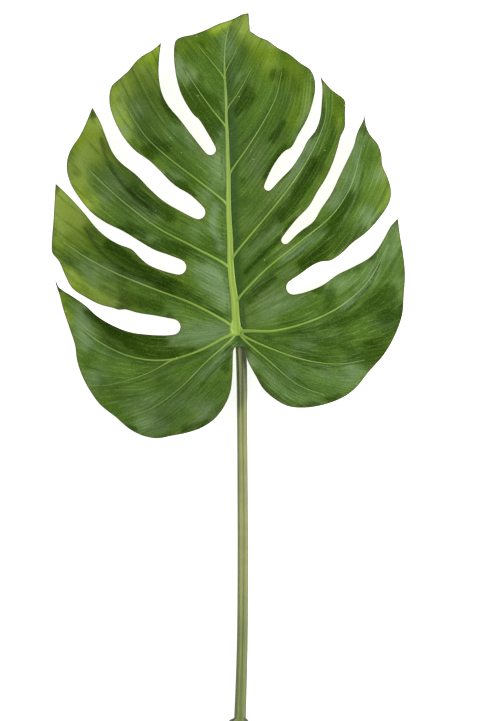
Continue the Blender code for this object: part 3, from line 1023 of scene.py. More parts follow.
        # Painted shade in the midrib's valley and on the web, painted shade at the ribs' sides, the
        # margin's dark line, partly its own brown and partly painted shade, and the specks
        colour = graph.tinted(colour, valley_shade_mask, self.valley_shade)
        colour = graph.banded(colour, rib, self.rib_shade)
        colour = graph.banded(colour, margin, self.edge)
        colour = graph.banded(colour, graph.cells(self.speck_scale), self.speck)
        graph.link(colour, shader.inputs["Base Color"])
        least = self.roughness - self.roughness_patches / 2
        rough = graph.scaled_plus(patches, self.roughness_patches, least)
        graph.link(rough, shader.inputs["Roughness"])
        shine = graph.scaled_plus(fold_shade, -self.gloss_lost_in_folds * self.gloss, self.gloss)
        graph.link(shine, shader.inputs["Specular IOR Level"])
        height = graph.weighted(bands, self.relief_bands, streaks, self.relief_streaks)
        height = graph.scaled_plus(patches, self.relief_patches, height)
        height = graph.scaled_plus(grain, self.relief_grain, height)
        height = graph.scaled_plus(shaded_crease, self.relief_creases, height)
        graph.bumped(shader, height, *self.bump)
        return made


@dataclass(frozen=True)
class UnderFaceFinish:
    """The dull, paler underside, with its ribs paler still."""

    mottle: Mottle = Mottle(30.0, 0.35, 0.65)
    fibres: Fibres = Fibres(14.0, 0.03, 7.0, 0.2, 1.1)
    green: Colour = linear("5f7a40")
    light: Colour = linear("768f55")
    light_bands: float = 0.4
    veinlet: Tint = Tint(linear("9fb070"), 0.45)
    rib: Band = Band(linear("9fb070"), 1.0, 1.6, 0.2)
    edge: Band = Band(linear("4a4a26"), 0.6, 1.3, 0.2)
    roughness: float = 0.6
    relief_grain: float = 0.3
    bump: Pair = (0.7, 0.0004)

    def material(self, effects: Effects) -> bpy.types.Material:
        """Makes the material, which reads the blade's grain and place numbers.

        Args:
            effects: The shared surface effects.

        Returns:
            The material.
        """
        made, graph, shader = new_material("under_face", self.roughness)
        across, along, rib = graph.numbers("grain")
        margin = graph.numbers("place")[0]
        patches, grain = effects.mottle(graph, self.mottle)
        bands, lines = effects.fibres(graph, self.fibres, across, along)
        uneven = graph.scaled_plus(bands, self.light_bands, patches, clamp=True)
        colour = graph.mix(uneven, self.green, self.light)
        colour = graph.tinted(colour, lines, self.veinlet)
        colour = graph.banded(colour, rib, self.rib)
        colour = graph.banded(colour, margin, self.edge)
        graph.link(colour, shader.inputs["Base Color"])
        graph.bumped(shader, graph.scaled_plus(grain, self.relief_grain, lines), *self.bump)
        return made


@dataclass(frozen=True)
class RibFinish:
    """The pale yellow-green ribs, duller and greener towards their ends."""

    fibres: Fibres = Fibres(3.0, 10.0, 11.0, 0.2, 0.6)
    midrib_seed: float = 3.0
    midrib: Colour = linear("97b34a")
    midrib_far: Colour = linear("82a052")
    side: Colour = linear("86a643")
    side_far: Colour = linear("89a75e")
    far: Pair = (0.25, 0.95)
    shade: Tint = Tint(linear("6f9030"), 0.3)
    roughness: float = 0.45
    gloss: float = 0.3
    bump: Pair = (0.4, 0.0004)

    def material(self, effects: Effects) -> bpy.types.Material:
        """Makes the material, which reads the ribs' grain numbers.

        Args:
            effects: The shared surface effects.

        Returns:
            The material.
        """
        made, graph, shader = new_material("rib_skin", self.roughness, self.gloss)
        across, share, main = graph.numbers("grain")
        seed = graph.scaled_plus(main, self.midrib_seed, self.fibres.seed)
        bands = effects.fibres(graph, self.fibres, across, share, seed)[0]
        far = graph.step(share, *self.far)
        middle = graph.mix(far, self.midrib, self.midrib_far)
        sides = graph.mix(far, self.side, self.side_far)
        colour = graph.tinted(graph.mix(main, sides, middle), bands, self.shade)
        graph.link(colour, shader.inputs["Base Color"])
        graph.bumped(shader, bands, *self.bump)
        return made


@dataclass(frozen=True)
class Stripe:
    """A soft stripe along the stalk: its middle and reach as shares of the stalk's width."""

    middle: float
    reach: float
    tint: Tint


@dataclass(frozen=True)
class StalkFinish:
    """The olive stalk: lengthwise stripes, browner and darker near the blade."""

    mottle: Mottle = Mottle(60.0, 0.42, 0.62)
    fibres: Fibres = Fibres(6.0, 0.01, 17.0, 0.2, 0.8)
    wander: float = 0.05
    skin: Colour = linear("8c925a")
    stripes: tuple[Stripe, ...] = (
        Stripe(0.3, 0.25, Tint(linear("b0b673"), 0.8)), Stripe(0.55, 0.1, Tint(linear("6f7640"), 0.6)),
    )
    brown_skin: Colour = linear("535b34")
    brown_stripes: tuple[Stripe, ...] = (
        Stripe(0.35, 0.12, Tint(linear("8c956a"), 0.9)), Stripe(0.85, 0.25, Tint(linear("757d57"), 0.8)),
    )
    brown_band: Pair = (-78.0, -58.0)
    brown_slant: float = -9.0
    brown_weight: float = 0.85
    # Painted shade along both edges of the stalk
    rim: Band = Band(linear("343a22"), 0.8, 0.6, 1.0)
    fresh: Band = Band(linear("7f9440"), 0.3, -250.0, -350.0)
    low: Band = Band(linear("546c38"), 0.42, -220.0, -310.0)
    lines: Tint = Tint(linear("3c4226"), 0.3)
    patches: Tint = Tint(linear("3c4226"), 0.12)
    # The dark of the dry cut base, and painted shade on the shoulders of the flare
    dry: Tint = Tint(linear("201e16"), 0.9)
    shoulder_band: Pair = (-379.5, -381.0)
    shoulder_side: Pair = (0.45, 0.7)
    dry_band: Pair = (-381.5, -386.0)
    roughness: float = 0.5
    gloss: float = 0.35
    relief_grain: float = 0.2
    bump: Pair = (0.6, 0.0004)

    def striped(self, graph: Graph, place: object, skin: Colour, stripes: Sequence[Stripe]) -> object:
        """Lays stripes along the skin.

        Args:
            graph: The material's graph.
            place: The place across the stalk, from 0 at its left edge to 1 at its right edge.
            skin: The colour between the stripes.
            stripes: The stripes.

        Returns:
            The striped colour's socket.
        """
        colour = skin
        for stripe in stripes:
            off = graph.math("ABSOLUTE", graph.math("SUBTRACT", place, stripe.middle))
            colour = graph.tinted(colour, graph.step(off, stripe.reach, 0.0), stripe.tint)
        return colour

    def material(self, effects: Effects) -> bpy.types.Material:
        """Makes the material, which reads the stalk's grain numbers.

        Args:
            effects: The shared surface effects.

        Returns:
            The material.
        """
        made, graph, shader = new_material("stalk_skin", self.roughness, self.gloss)
        across, along, turn = graph.numbers("grain")
        bands, lines = effects.fibres(graph, self.fibres, turn, along)
        patches, grain = effects.mottle(graph, self.mottle)
        wander = graph.scaled_plus(bands, self.wander, -self.wander / 2)
        place = graph.math("ADD", graph.scaled_plus(across, 0.5, 0.5), wander)
        colour = self.striped(graph, place, self.skin, self.stripes)
        green = graph.scaled(bands, graph.step(along, self.fresh.low, self.fresh.high))
        colour = graph.tinted(colour, green, self.fresh)
        colour = graph.banded(colour, along, self.low)
        brown = graph.step(graph.scaled_plus(across, self.brown_slant, along), *self.brown_band)
        browner = self.striped(graph, place, self.brown_skin, self.brown_stripes)
        colour = graph.mix(graph.scaled(brown, self.brown_weight), colour, browner)
        # Painted shade along the stalk's two edges
        outwards = graph.math("ABSOLUTE", across)
        colour = graph.banded(colour, outwards, self.rim)
        colour = graph.tinted(colour, lines, self.lines)
        colour = graph.tinted(colour, patches, self.patches)
        # Painted shade on the flare's shoulders, joined with the dark of the dry cut base
        side = graph.step(outwards, *self.shoulder_side)
        shoulder_shade = graph.scaled(graph.step(along, *self.shoulder_band), side)
        dry = graph.math("MAXIMUM", shoulder_shade, graph.step(along, *self.dry_band))
        colour = graph.tinted(colour, dry, self.dry)
        graph.link(colour, shader.inputs["Base Color"])
        graph.bumped(shader, graph.scaled_plus(grain, self.relief_grain, bands), *self.bump)
        return made


@dataclass(frozen=True)
class CutFinish:
    """The stalk's dry cut face: a brown rim round pale pith with fibre ends."""

    mottle: Mottle = Mottle(300.0, 0.4, 0.6)
    pith: Colour = linear("a39b6c")
    patch: Tint = Tint(linear("5a4f30"), 0.4)
    fibre: Band = Band(linear("5a4f30"), 1.0, 0.35, 0.1)
    fibre_scale: float = 900.0
    rim: Band = Band(linear("2a2416"), 1.0, 0.78, 0.98)
    roughness: float = 0.8
    bump: Pair = (0.6, 0.0004)

    def material(self, effects: Effects) -> bpy.types.Material:
        """Makes the material, which reads the cut face's own numbers.

        Args:
            effects: The shared surface effects.

        Returns:
            The material.
        """
        made, graph, shader = new_material("cut_face", self.roughness)
        ring = graph.numbers("cut")[0]
        patches = effects.mottle(graph, self.mottle)[0]
        ends = graph.cells(self.fibre_scale)
        colour = graph.banded(self.pith, ends, self.fibre)
        colour = graph.tinted(colour, patches, self.patch)
        colour = graph.banded(colour, ring, self.rim)
        graph.link(colour, shader.inputs["Base Color"])
        graph.bumped(shader, ends, *self.bump)
        return made


@dataclass
class Blade:
    """The leaf's blade: one thin waved sheet with its slits, its keels and its two faces."""

    drawing: Drawing
    relief: Relief
    place: Place
    margin_step: float = 2.4
    vein_step: float = 3.0
    spacing: float = 1.9
    clear: float = 1.5
    join: float = 0.001
    edge_thickness: float = 0.45
    edge_width: float = 3.0
    open_reach: float = 44.0
    guide_reach: float = 60.0
    rib_fade: float = 6.0
    rib_fade_shares: Pair = (0.7, 1.0)
    # The painted shade in the valley right of the midrib: its inner and outer steps, and its fade towards
    # the apex
    strip_inner: Pair = (0.5, 3.5)
    strip_outer: Pair = (12.0, 8.5)
    strip_fade: Pair = (290.0, 220.0)
    glow: tuple[Mark, ...] = (
        Mark(((-96, 272), (-114, 252), (-124, 236), (-120, 222)), 13, 0.65), spot(-90, 250, 9, 0.5),
        Mark(((-79, 290), (-90, 279)), 7, 0.8), Mark(((-119, 214), (-113, 200)), 8, 0.7),
        spot(-54, 290, 8, 0.5), spot(-164, 130, 16), spot(-120, 203, 7, 0.5), spot(-142, 138, 9, 0.6),
        Mark(((-148, 206), (-154, 190), (-158, 176), (-158, 158)), 15, 0.9), spot(-140, 180, 15, 0.8),
        Mark(((-180, 146), (-176, 125), (-172, 112)), 18, 1.0), spot(-158, 118, 14, 0.7),
        spot(-176, 92, 9, 0.3), Mark(((-168, 62), (-150, 50), (-132, 38), (-116, 33)), 13, 0.8),
        Mark(((-178, 45), (-172, 20)), 8, 0.4), Mark(((9, 318), (8, 308)), 8, 0.6),
        Mark(((-24, 308), (-8, 316)), 8, 1.0), spot(32, 293, 8, 0.7),
        Mark(((14, 298), (26, 286), (32, 276)), 8, 0.5), spot(54, 268, 8, 0.35),
        Mark(((69, 238), (67, 228), (62, 216)), 7, 0.4), spot(99, 216, 6, 0.25),
        Mark(((148, 170), (151, 148), (144, 132)), 8, 0.4), spot(160, 108, 7, 0.3),
        spot(-138, -60, 10, 0.25), spot(-100, 248, 9, 0.4), spot(-1, 319, 7, 0.4),
        spot(-112, 260, 9, 0.45), spot(-85, 262, 8, 0.35), spot(-46, 260, 6, 0.3),
    )
    # Painted sheen: where the grey-green reflection of the lamps is laid into the colour
    painted_sheen: tuple[Mark, ...] = (
        spot(46, -64, 6, 0.5), spot(-77, -85, 7, 0.4), spot(-131, 141, 6, 0.5), spot(51, -36, 6, 0.4),
        Mark(((8, 80), (24, 97), (38, 108)), 5, 0.4), Mark(((46, 79), (66, 92), (84, 106)), 4.5, 0.6),
        Mark(((-22, 132), (-25, 112), (-18, 90)), 4, 0.8), spot(-42, 106, 8, 0.4),
        Mark(((-96, 104), (-80, 94)), 5, 0.5), Mark(((-116, 65), (-100, 57), (-84, 51)), 2.5, 0.35),
        Mark(((-34, 68), (-24, 56)), 10, 0.6), Mark(((-14, 38), (-18, 50), (-24, 66)), 10, 0.85),
        Mark(((-16, 6), (-40, 6)), 9, 0.8), spot(-15, 88, 6, 0.4),
        Mark(((-18, 158), (-20, 182)), 8, 0.45), Mark(((-22, 196), (-18, 206)), 7, 0.5),
        spot(-60, 207, 9, 0.35), spot(-64, 158, 9, 0.6),
        Mark(((-86, 124), (-108, 142), (-128, 160)), 9, 0.5), spot(-60, 0, 14, 0.4),
        Mark(((-30, 0), (-60, 0)), 11, 0.5), Mark(((-126, 66), (-150, 72)), 8, 0.4),
        Mark(((-158, 30), (-152, -4)), 9, 0.8), spot(-144, -42, 10, 0.7), spot(-31, -74, 12, 0.5),
        spot(-92, -86, 9, 0.5), Mark(((-60, -58), (-100, -76)), 18, 0.35), spot(-130, -11, 8, 0.5),
        spot(-100, 228, 8, 0.4), Mark(((-12, -14), (-38, -36)), 7, 0.7), spot(-60, 268, 10, 0.8),
        spot(-9, 317, 8, 0.4), Mark(((-12, 300), (-8, 282)), 8, 0.45), spot(-49, 202, 9, 0.7),
        spot(-29, 144, 8, 0.7), spot(-48, 259, 7, 0.7), spot(-146, 57, 8, 0.6), spot(-80, -88, 10, 0.4),
        spot(-2, 262, 9, 0.35), Mark(((46, 146), (56, 160), (70, 182)), 5, 0.5), spot(130, 122, 9, 0.75),
        spot(155, 112, 7, 0.6), spot(122, 46, 7, 0.5), spot(142, 163, 8, 0.35), spot(101, 57, 11, 0.65),
        spot(72, -2, 10, 0.4), Mark(((162, 112), (154, 84), (160, 60)), 8, 0.4), spot(115, -31, 11, 0.8),
        Mark(((30, 26), (56, 42)), 10, 0.45), spot(60, -8, 9, 0.5), Mark(((4, -14), (15, -28)), 6, 0.8),
        spot(-115, 207, 7, 0.5), spot(-117, 226, 6, 0.3),
        Mark(((104, 134), (114, 152), (121, 176)), 3.5, 0.5),
        Mark(((120, 46), (136, 62), (147, 84)), 4.5, 0.6), Mark(((74, 186), (84, 214)), 4, 0.5),
        spot(32, 294, 6, 0.3),
    )
    shade: tuple[Mark, ...] = (
        Mark(((-72, 262), (-70, 236), (-60, 216)), 8, 0.85), spot(-88, 188, 11, 0.9),
        Mark(((-72, 158), (-54, 150)), 7, 0.85), Mark(((-126, 166), (-104, 141), (-84, 126)), 5, 0.6),
        Mark(((-128, 192), (-112, 174)), 9, 0.35), Mark(((-104, 152), (-88, 138), (-68, 121)), 7, 0.75),
        Mark(((-112, 110), (-96, 104)), 7, 0.7), Mark(((-120, 104), (-134, 116)), 5, 0.5),
        Mark(((-78, 92), (-54, 86)), 8, 0.8),
        Mark(((-126, 90), (-116, 84), (-98, 68), (-72, 53)), 9.5, 0.85),
        Mark(((-72, 54), (-50, 45)), 8, 0.7), Mark(((-116, 34), (-108, 37), (-80, 32)), 7, 0.65),
        spot(-68, 19, 6, 0.6), Mark(((-44, 84), (-36, 78)), 6, 0.5), spot(-38, 39, 6, 0.6),
        Mark(((-118, 60), (-112, 42)), 8, 0.4),
        Mark(((-148, 27), (-122, 7), (-100, 0), (-76, -3)), 7, 0.9),
        Mark(((-108, -8), (-90, -14), (-64, -16)), 6, 0.7), Mark(((-66, -13), (-44, -12)), 4, 0.4),
        Mark(((-30, -86), (-52, -94)), 6, 0.7), Mark(((-9, -12), (-13, -30)), 5, 0.6),
        Mark(((-30, 30), (-12, 20)), 5, 0.5), Mark(((-120, -74), (-134, -60)), 6, 0.4),
        Mark(((-48, 243), (-38, 234), (-24, 212)), 13, 0.8), Mark(((-46, 226), (-30, 200)), 8, 0.85),
        spot(-14, 218, 6, 0.6), spot(-22, 236, 8, 0.4), Mark(((12, 248), (8, 236), (4, 222)), 6, 0.4),
        Mark(((48, 262), (60, 246)), 10, 0.25), Mark(((80, 240), (81, 218), (76, 204)), 7, 0.9),
        Mark(((34, 196), (44, 214)), 4, 0.6), Mark(((28, 160), (46, 186)), 6, 0.9), spot(6, 156, 6, 0.5),
        Mark(((0, 226), (12, 240)), 5, 0.7), Mark(((52, 182), (62, 200)), 6, 0.5),
        Mark(((42, 178), (52, 188)), 6, 0.5), Mark(((94, 218), (93, 200), (80, 170)), 6, 0.5),
        spot(102, 234, 8, 0.3), Mark(((76, 176), (64, 154), (54, 130), (44, 120)), 8, 0.95),
        spot(116, 71, 6, 0.5), Mark(((110, 140), (98, 114), (80, 88), (66, 74)), 8, 0.85),
        Mark(((54, 108), (70, 112)), 7, 0.9), Mark(((82, 224), (80, 210)), 5, 0.7),
        Mark(((36, 60), (18, 44)), 4, 0.7), Mark(((8, 64), (20, 78), (31, 90), (40, 98)), 4, 0.75),
        Mark(((76, 12), (100, 16)), 8, 0.4), Mark(((60, 74), (84, 86)), 7, 0.7),
        Mark(((84, 72), (74, 68)), 9, 0.75), Mark(((150, 48), (124, 27), (88, 9)), 8, 0.6),
        spot(80, 49, 6, 0.6), Mark(((122, 110), (100, 88)), 8, 0.6),
        Mark(((66, 2), (104, -8), (140, -14)), 15, 0.4), spot(149, 21, 18, 1.0), spot(158, 34, 7, 0.6),
        spot(138, -8, 13, 0.75), Mark(((60, -14), (92, -34)), 7, 0.6),
        Mark(((12, -34), (34, -56)), 6, 0.6), Mark(((32, -57), (64, -67), (100, -60)), 5, 0.6),
        Mark(((56, -23), (74, -31)), 5, 0.4), spot(92, 44, 7, 0.5), spot(120, 76, 9, 0.4),
        spot(90, 32, 9, 0.4), Mark(((12, -2), (8, -18)), 5, 0.4), spot(24, 78, 9, 0.4),
        spot(128, 208, 9, 0.7), Mark(((112, -16), (138, -26)), 8, 0.6), spot(133, 12, 8, 0.5),
        spot(11, 38, 6, 0.4), Mark(((-38, 216), (-44, 224), (-52, 234)), 6, 1.0),
        Mark(((-64, 224), (-72, 236)), 6, 0.9), Mark(((-46, 142), (-60, 151)), 5.5, 1.0),
        Mark(((-108, 103), (-118, 110)), 4, 0.8), Mark(((32, 164), (43, 183)), 6, 0.9),
        Mark(((79, 208), (82, 224)), 6, 1.0), Mark(((62, -69), (76, -70)), 4, 0.7),
        Mark(((60, 105), (74, 115)), 6, 1.0), Mark(((163, 20), (165, 33)), 4, 0.8),
        Mark(((-97, 95), (-86, 89)), 4, 0.8), Mark(((-122, 30), (-110, 29)), 4, 0.7),
        Mark(((127, 222), (121, 206)), 4, 0.6), Mark(((62, 205), (70, 220)), 5, 0.8),
        Mark(((66, 46), (80, 51)), 4, 0.6), Mark(((88, 137), (95, 148)), 3.5, 0.5),
        Mark(((136, 114), (146, 126)), 3.5, 0.4), Mark(((-84, 200), (-70, 190)), 6, 0.6),
        Mark(((20, 190), (34, 202)), 6, 0.5), Mark(((-98, -96), (-112, -88)), 4, 0.6),
        Mark(((40, 158), (52, 168)), 4, 0.7), Mark(((18, -40), (30, -56)), 4, 0.7),
        Mark(((-50, 42), (-30, 36)), 6, 0.5), Mark(((134, 82), (143, 96)), 6, 0.8),
        spot(-37, 293, 7, 0.4), Mark(((108, -8), (128, -6)), 8, 0.4),
        Mark(((74, 152), (84, 168)), 6, 0.5), spot(39, 262, 8, 0.6), spot(-160, 167, 8, 0.35),
        spot(-118, 239, 8, 0.3), spot(-181, 149, 6, 0.75), spot(-158, 174, 7, 0.35),
        spot(-35, 262, 6, 0.4), Mark(((-126, 42), (-112, 38)), 7, 0.6), spot(73, 255, 7, 0.5),
        spot(-62, 290, 6, 0.5), Mark(((50, 104), (58, 118)), 4, 0.7),
        Mark(((-145, 222), (-146, 228)), 4, 0.5),
    )
    # Painted shade in narrow creases; the upper face also sinks them as relief
    creases: tuple[Mark, ...] = (
        Mark(((-137, 198), (-133, 183), (-124, 164), (-108, 145), (-88, 128)), 1.8, 0.9),
        Mark(((-127, 194), (-114, 174), (-98, 156)), 1.5, 0.6),
        Mark(((-153, 110), (-142, 91), (-127, 76), (-104, 62), (-76, 53)), 1.8, 0.9),
        Mark(((-104, 208), (-92, 194), (-78, 182)), 1.6, 0.5),
        Mark(((-84, -8), (-104, -2), (-126, 8), (-142, 20)), 1.6, 0.5),
        Mark(((8, 252), (2, 238), (-4, 226)), 1.5, 0.7), Mark(((0, 190), (16, 206), (28, 226)), 1.5, 0.7),
        Mark(((10, 92), (34, 116), (56, 144), (76, 174)), 1.7, 0.8),
        Mark(((8, 66), (22, 82), (42, 101)), 1.6, 0.8), Mark(((14, 48), (38, 68), (64, 85)), 1.6, 0.85),
        Mark(((74, 84), (98, 104), (116, 134), (124, 164)), 1.7, 0.7),
        Mark(((26, 0), (60, 6), (94, 18), (122, 42), (142, 74)), 1.6, 0.8),
        Mark(((30, -2), (62, -12), (98, -20)), 1.5, 0.7), Mark(((26, -30), (56, -56)), 1.5, 0.4),
        Mark(((-14, -20), (-38, -48)), 1.5, 0.7), Mark(((-30, -12), (-64, -26), (-104, -24)), 1.6, 0.5),
    )
    olive: tuple[Mark, ...] = (
        Mark(((-106, 268), (-90, 250), (-84, 234)), 17, 0.85), Mark(((-58, 298), (-34, 294)), 13, 0.95),
        Mark(((24, 280), (46, 268), (68, 254)), 13, 0.95),
        Mark(((73, 258), (70, 244), (62, 214)), 12, 0.8), spot(38, 262, 10, 0.9), spot(-160, 168, 8, 0.6),
        Mark(((60, 76), (86, 86)), 8, 0.7),
        Mark(((-138, 170), (-126, 160), (-108, 148), (-86, 134)), 13, 0.8),
        Mark(((-174, 92), (-150, 98), (-124, 86), (-98, 70), (-52, 50)), 12, 0.85),
        Mark(((-154, 30), (-118, 6), (-90, -6), (-58, -10)), 12, 0.85), spot(-88, 190, 11, 0.7),
        spot(-77, 243, 9, 0.5), spot(-179, 82, 8, 0.6), Mark(((100, 242), (96, 222)), 10, 0.7),
        Mark(((142, 158), (126, 120)), 9, 0.5), Mark(((88, 160), (66, 140), (50, 120)), 8, 0.5),
        Mark(((-70, 262), (-70, 230)), 9, 0.6),
    )
    # A bluish cast, partly the painted sheen of the lamps
    cool_and_sheen: tuple[Mark, ...] = (
        Mark(((26, -30), (66, -50), (112, -52)), 20, 0.7),
        Mark(((122, 190), (104, 160), (92, 138)), 9, 0.7), Mark(((16, 206), (18, 170)), 12, 0.6),
        Mark(((-56, 200), (-30, 176)), 12, 0.6), Mark(((-118, 230), (-104, 204)), 8, 0.6),
        spot(-28, 60, 14, 0.5), spot(-66, 28, 9, 0.6), Mark(((92, 50), (120, 62), (146, 84)), 12, 0.5),
        Mark(((20, 60), (50, 36)), 14, 0.4),
    )
    dust: tuple[Mark, ...] = (
        Mark(((12, -26), (30, -46)), 9, 0.7), spot(35, 148, 10, 0.7),
        Mark(((16, 186), (20, 162)), 10, 0.7), spot(11, 18, 10, 0.6), spot(-48, 202, 7, 0.6),
        Mark(((-44, 192), (-28, 182)), 9, 0.7), Mark(((26, 40), (58, 50)), 13, 0.8), spot(55, 66, 9, 0.6),
        Mark(((-24, -76), (-44, -90)), 9, 0.8), spot(154, 108, 7, 0.6),
        Mark(((12, 112), (30, 132)), 9, 0.5), spot(70, 264, 7, 0.5),
        Mark(((-62, 294), (-52, 300)), 6, 0.7), spot(120, 40, 9, 0.4),
    )
    # Painted shade on the web over the stalk's top, laid in with the valley's shade
    web_shade: tuple[Mark, ...] = (Mark(((1, -2), (3, -6)), 5.5),)
    web_shade_weight: float = 1.35
    lane_gap: float = 20.0
    least_reach: float = 1e-6
    sharp_angle: float = 60.0

    def field_points(self, ring: np.ndarray, taken: np.ndarray) -> np.ndarray:
        """Fills the ring with an even field of points.

        Args:
            ring: The blade's margin.
            taken: Points that are there already.

        Returns:
            Points inside the ring and clear of those taken.
        """
        low, high = ring.min(axis=0), ring.max(axis=0)
        rows = np.arange(low[1], high[1], self.spacing * math.sqrt(3) / 2)
        columns = np.arange(low[0], high[0], self.spacing)
        shifts = [(row % 2) * self.spacing / 2 for row in range(len(rows))]
        made = np.array([(x + shift, y) for shift, y in zip(shifts, rows) for x in columns])
        made = made[inside(ring, made)]
        keep = np.ones(len(made), bool)
        for point in taken:
            off = np.abs(made - point)
            keep &= (off[:, 0] > self.clear) | (off[:, 1] > self.clear)
        return made[keep]

    def triangles(self) -> tuple[np.ndarray, list[Sequence[int]]]:
        """Splits the blade's plan into fine triangles, with the margin and the ribs as edges.

        Returns:
            Plan points and the corners of each triangle.
        """
        ring = self.drawing.ring(self.margin_step)
        points = [ring]
        edges = [(i, (i + 1) % len(ring)) for i in range(len(ring))]
        count = len(ring)
        for vein in self.drawing.all_veins():
            line = vein.line(self.vein_step)
            edges += [(count + i, count + i + 1) for i in range(len(line) - 1)]
            points.append(line)
            count += len(line)
        points.append(self.field_points(ring, np.concatenate(points)))
        flat = [tuple(point) for point in np.concatenate(points)]
        made = delaunay_2d_cdt(flat, edges, [], INNER_FACES, self.join)
        return np.array([tuple(v) for v in made[0]]), made[2]

    def lanes(self, points: np.ndarray, side: Side) -> np.ndarray:
        """Numbers the strips between one half's side ribs.

        Args:
            points: Plan points.
            side: The half of the blade.

        Returns:
            A number that rises from the apex down, and is whole on each side rib.
        """
        guides = [vein.guide(self.vein_step, self.guide_reach) for vein in self.drawing.veins_of(side)]
        near = [nearest_on(guide, points) for guide in guides]
        lane = len(near) - 1 + near[-1].distance / self.open_reach
        for index in range(len(near) - 1, -1, -1):
            above = ~near[index].left if side is Side.LEFT else near[index].left
            here = near[index].distance
            reach = near[index - 1].distance + here if index else self.open_reach
            lane = np.where(above, index - here / np.maximum(reach, self.least_reach), lane)
        return lane

    def dress(self, piece: bpy.types.Object, plan: np.ndarray, margin: np.ndarray) -> None:
        """Stores the grain, tone, place and cast numbers that the blade's materials read.

        Args:
            piece: The blade, whose points are the plan points twice over.
            plan: Plan points of one face.
            margin: How far each of them lies from the margin.
        """
        mesh = piece.data
        corners = np.zeros(len(mesh.loops), np.int32)
        mesh.loops.foreach_get("vertex_index", corners)
        totals = np.zeros(len(mesh.polygons), np.int32)
        mesh.polygons.foreach_get("loop_total", totals)
        corners %= len(plan)
        starts = np.concatenate([[0], np.cumsum(totals)[:-1]])
        middles = np.add.reduceat(plan[corners], starts, axis=0) / totals[:, None]
        midrib = self.drawing.midrib.line(self.vein_step)
        left = np.repeat(nearest_on(midrib, middles).left, totals)
        lanes = [self.lanes(plan, side)[corners] for side in Side]
        middle = nearest_on(midrib, plan)
        rib = np.full(len(plan), np.inf)
        for vein in self.drawing.all_veins():
            near = nearest_on(vein.line(self.vein_step), plan)
            fade = self.rib_fade * eased(near.share, *self.rib_fade_shares)
            rib = np.minimum(rib, near.distance - vein.width(near.share) / 2 + fade)
        lane = np.where(left, lanes[0], lanes[1] + self.lane_gap)
        add_numbers(piece, "grain", (lane, middle.distance[corners], rib[corners]), "CORNER")
        # Painted shade in the valley right of the midrib and on the web
        beyond = np.where(middle.left, -middle.distance, middle.distance)
        valley_shade_mask = eased(beyond, *self.strip_inner) * eased(beyond, *self.strip_outer)
        valley_shade_mask *= eased(plan[:, 1], *self.strip_fade)
        valley_shade_mask = np.maximum(valley_shade_mask, self.web_shade_weight * laid_over(self.web_shade, plan))
        kinds = {
            "tone": [laid_over(marks, plan) for marks in (self.glow, self.painted_sheen, self.shade)],
            "place": [margin, laid_over(self.creases, plan), valley_shade_mask],
            "cast": [laid_over(marks, plan) for marks in (self.olive, self.cool_and_sheen, self.dust)],
        }
        for name, columns in kinds.items():
            add_numbers(piece, name, [np.tile(column, 2) for column in columns])

    def build(self, effects: Effects) -> bpy.types.Object:
        """Builds the blade.

        Args:
            effects: The shared surface effects.

        Returns:
            The blade, with its upper face and its underside dressed.
        """
        plan, faces = self.triangles()
        count = len(plan)
        inwards = self.drawing.margin_distance(self.margin_step, plan)
        thicker = self.relief.thickness - self.edge_thickness
        edge = self.edge_thickness + thicker * eased(inwards, 0, self.edge_width)
        top = self.relief.height(plan)
        bottom = top - self.relief.keel(plan) - edge
        vertices = np.concatenate([self.place.vertices(plan, top), self.place.vertices(plan, bottom)])
        vertices = np.clip(vertices, *[np.array(corner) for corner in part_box("blade")])
        sides: dict[tuple[int, int], int] = {}
        for face in faces:
            for a, b in zip(face, (*face[1:], face[0])):
                sides[(a, b)] = sides.get((a, b), 0) + 1
        rim = [(a, b) for a, b in sides if (b, a) not in sides]
        under = [tuple(count + corner for corner in reversed(face)) for face in faces]
        walls = [(b, a, a + count, b + count) for a, b in rim]
        piece = mesh_object("leaf_blade", vertices, [*faces, *under, *walls])
        piece.data.set_sharp_from_angle(angle=math.radians(self.sharp_angle))
        self.dress(piece, plan, inwards)
        upper_face = UpperFaceFinish().material(effects)
        under_face = UnderFaceFinish().material(effects)
        give_materials(piece, upper_face, under_face, len(faces), len(under))
        LOG.info("blade: %d faces", len(piece.data.polygons))
        return piece


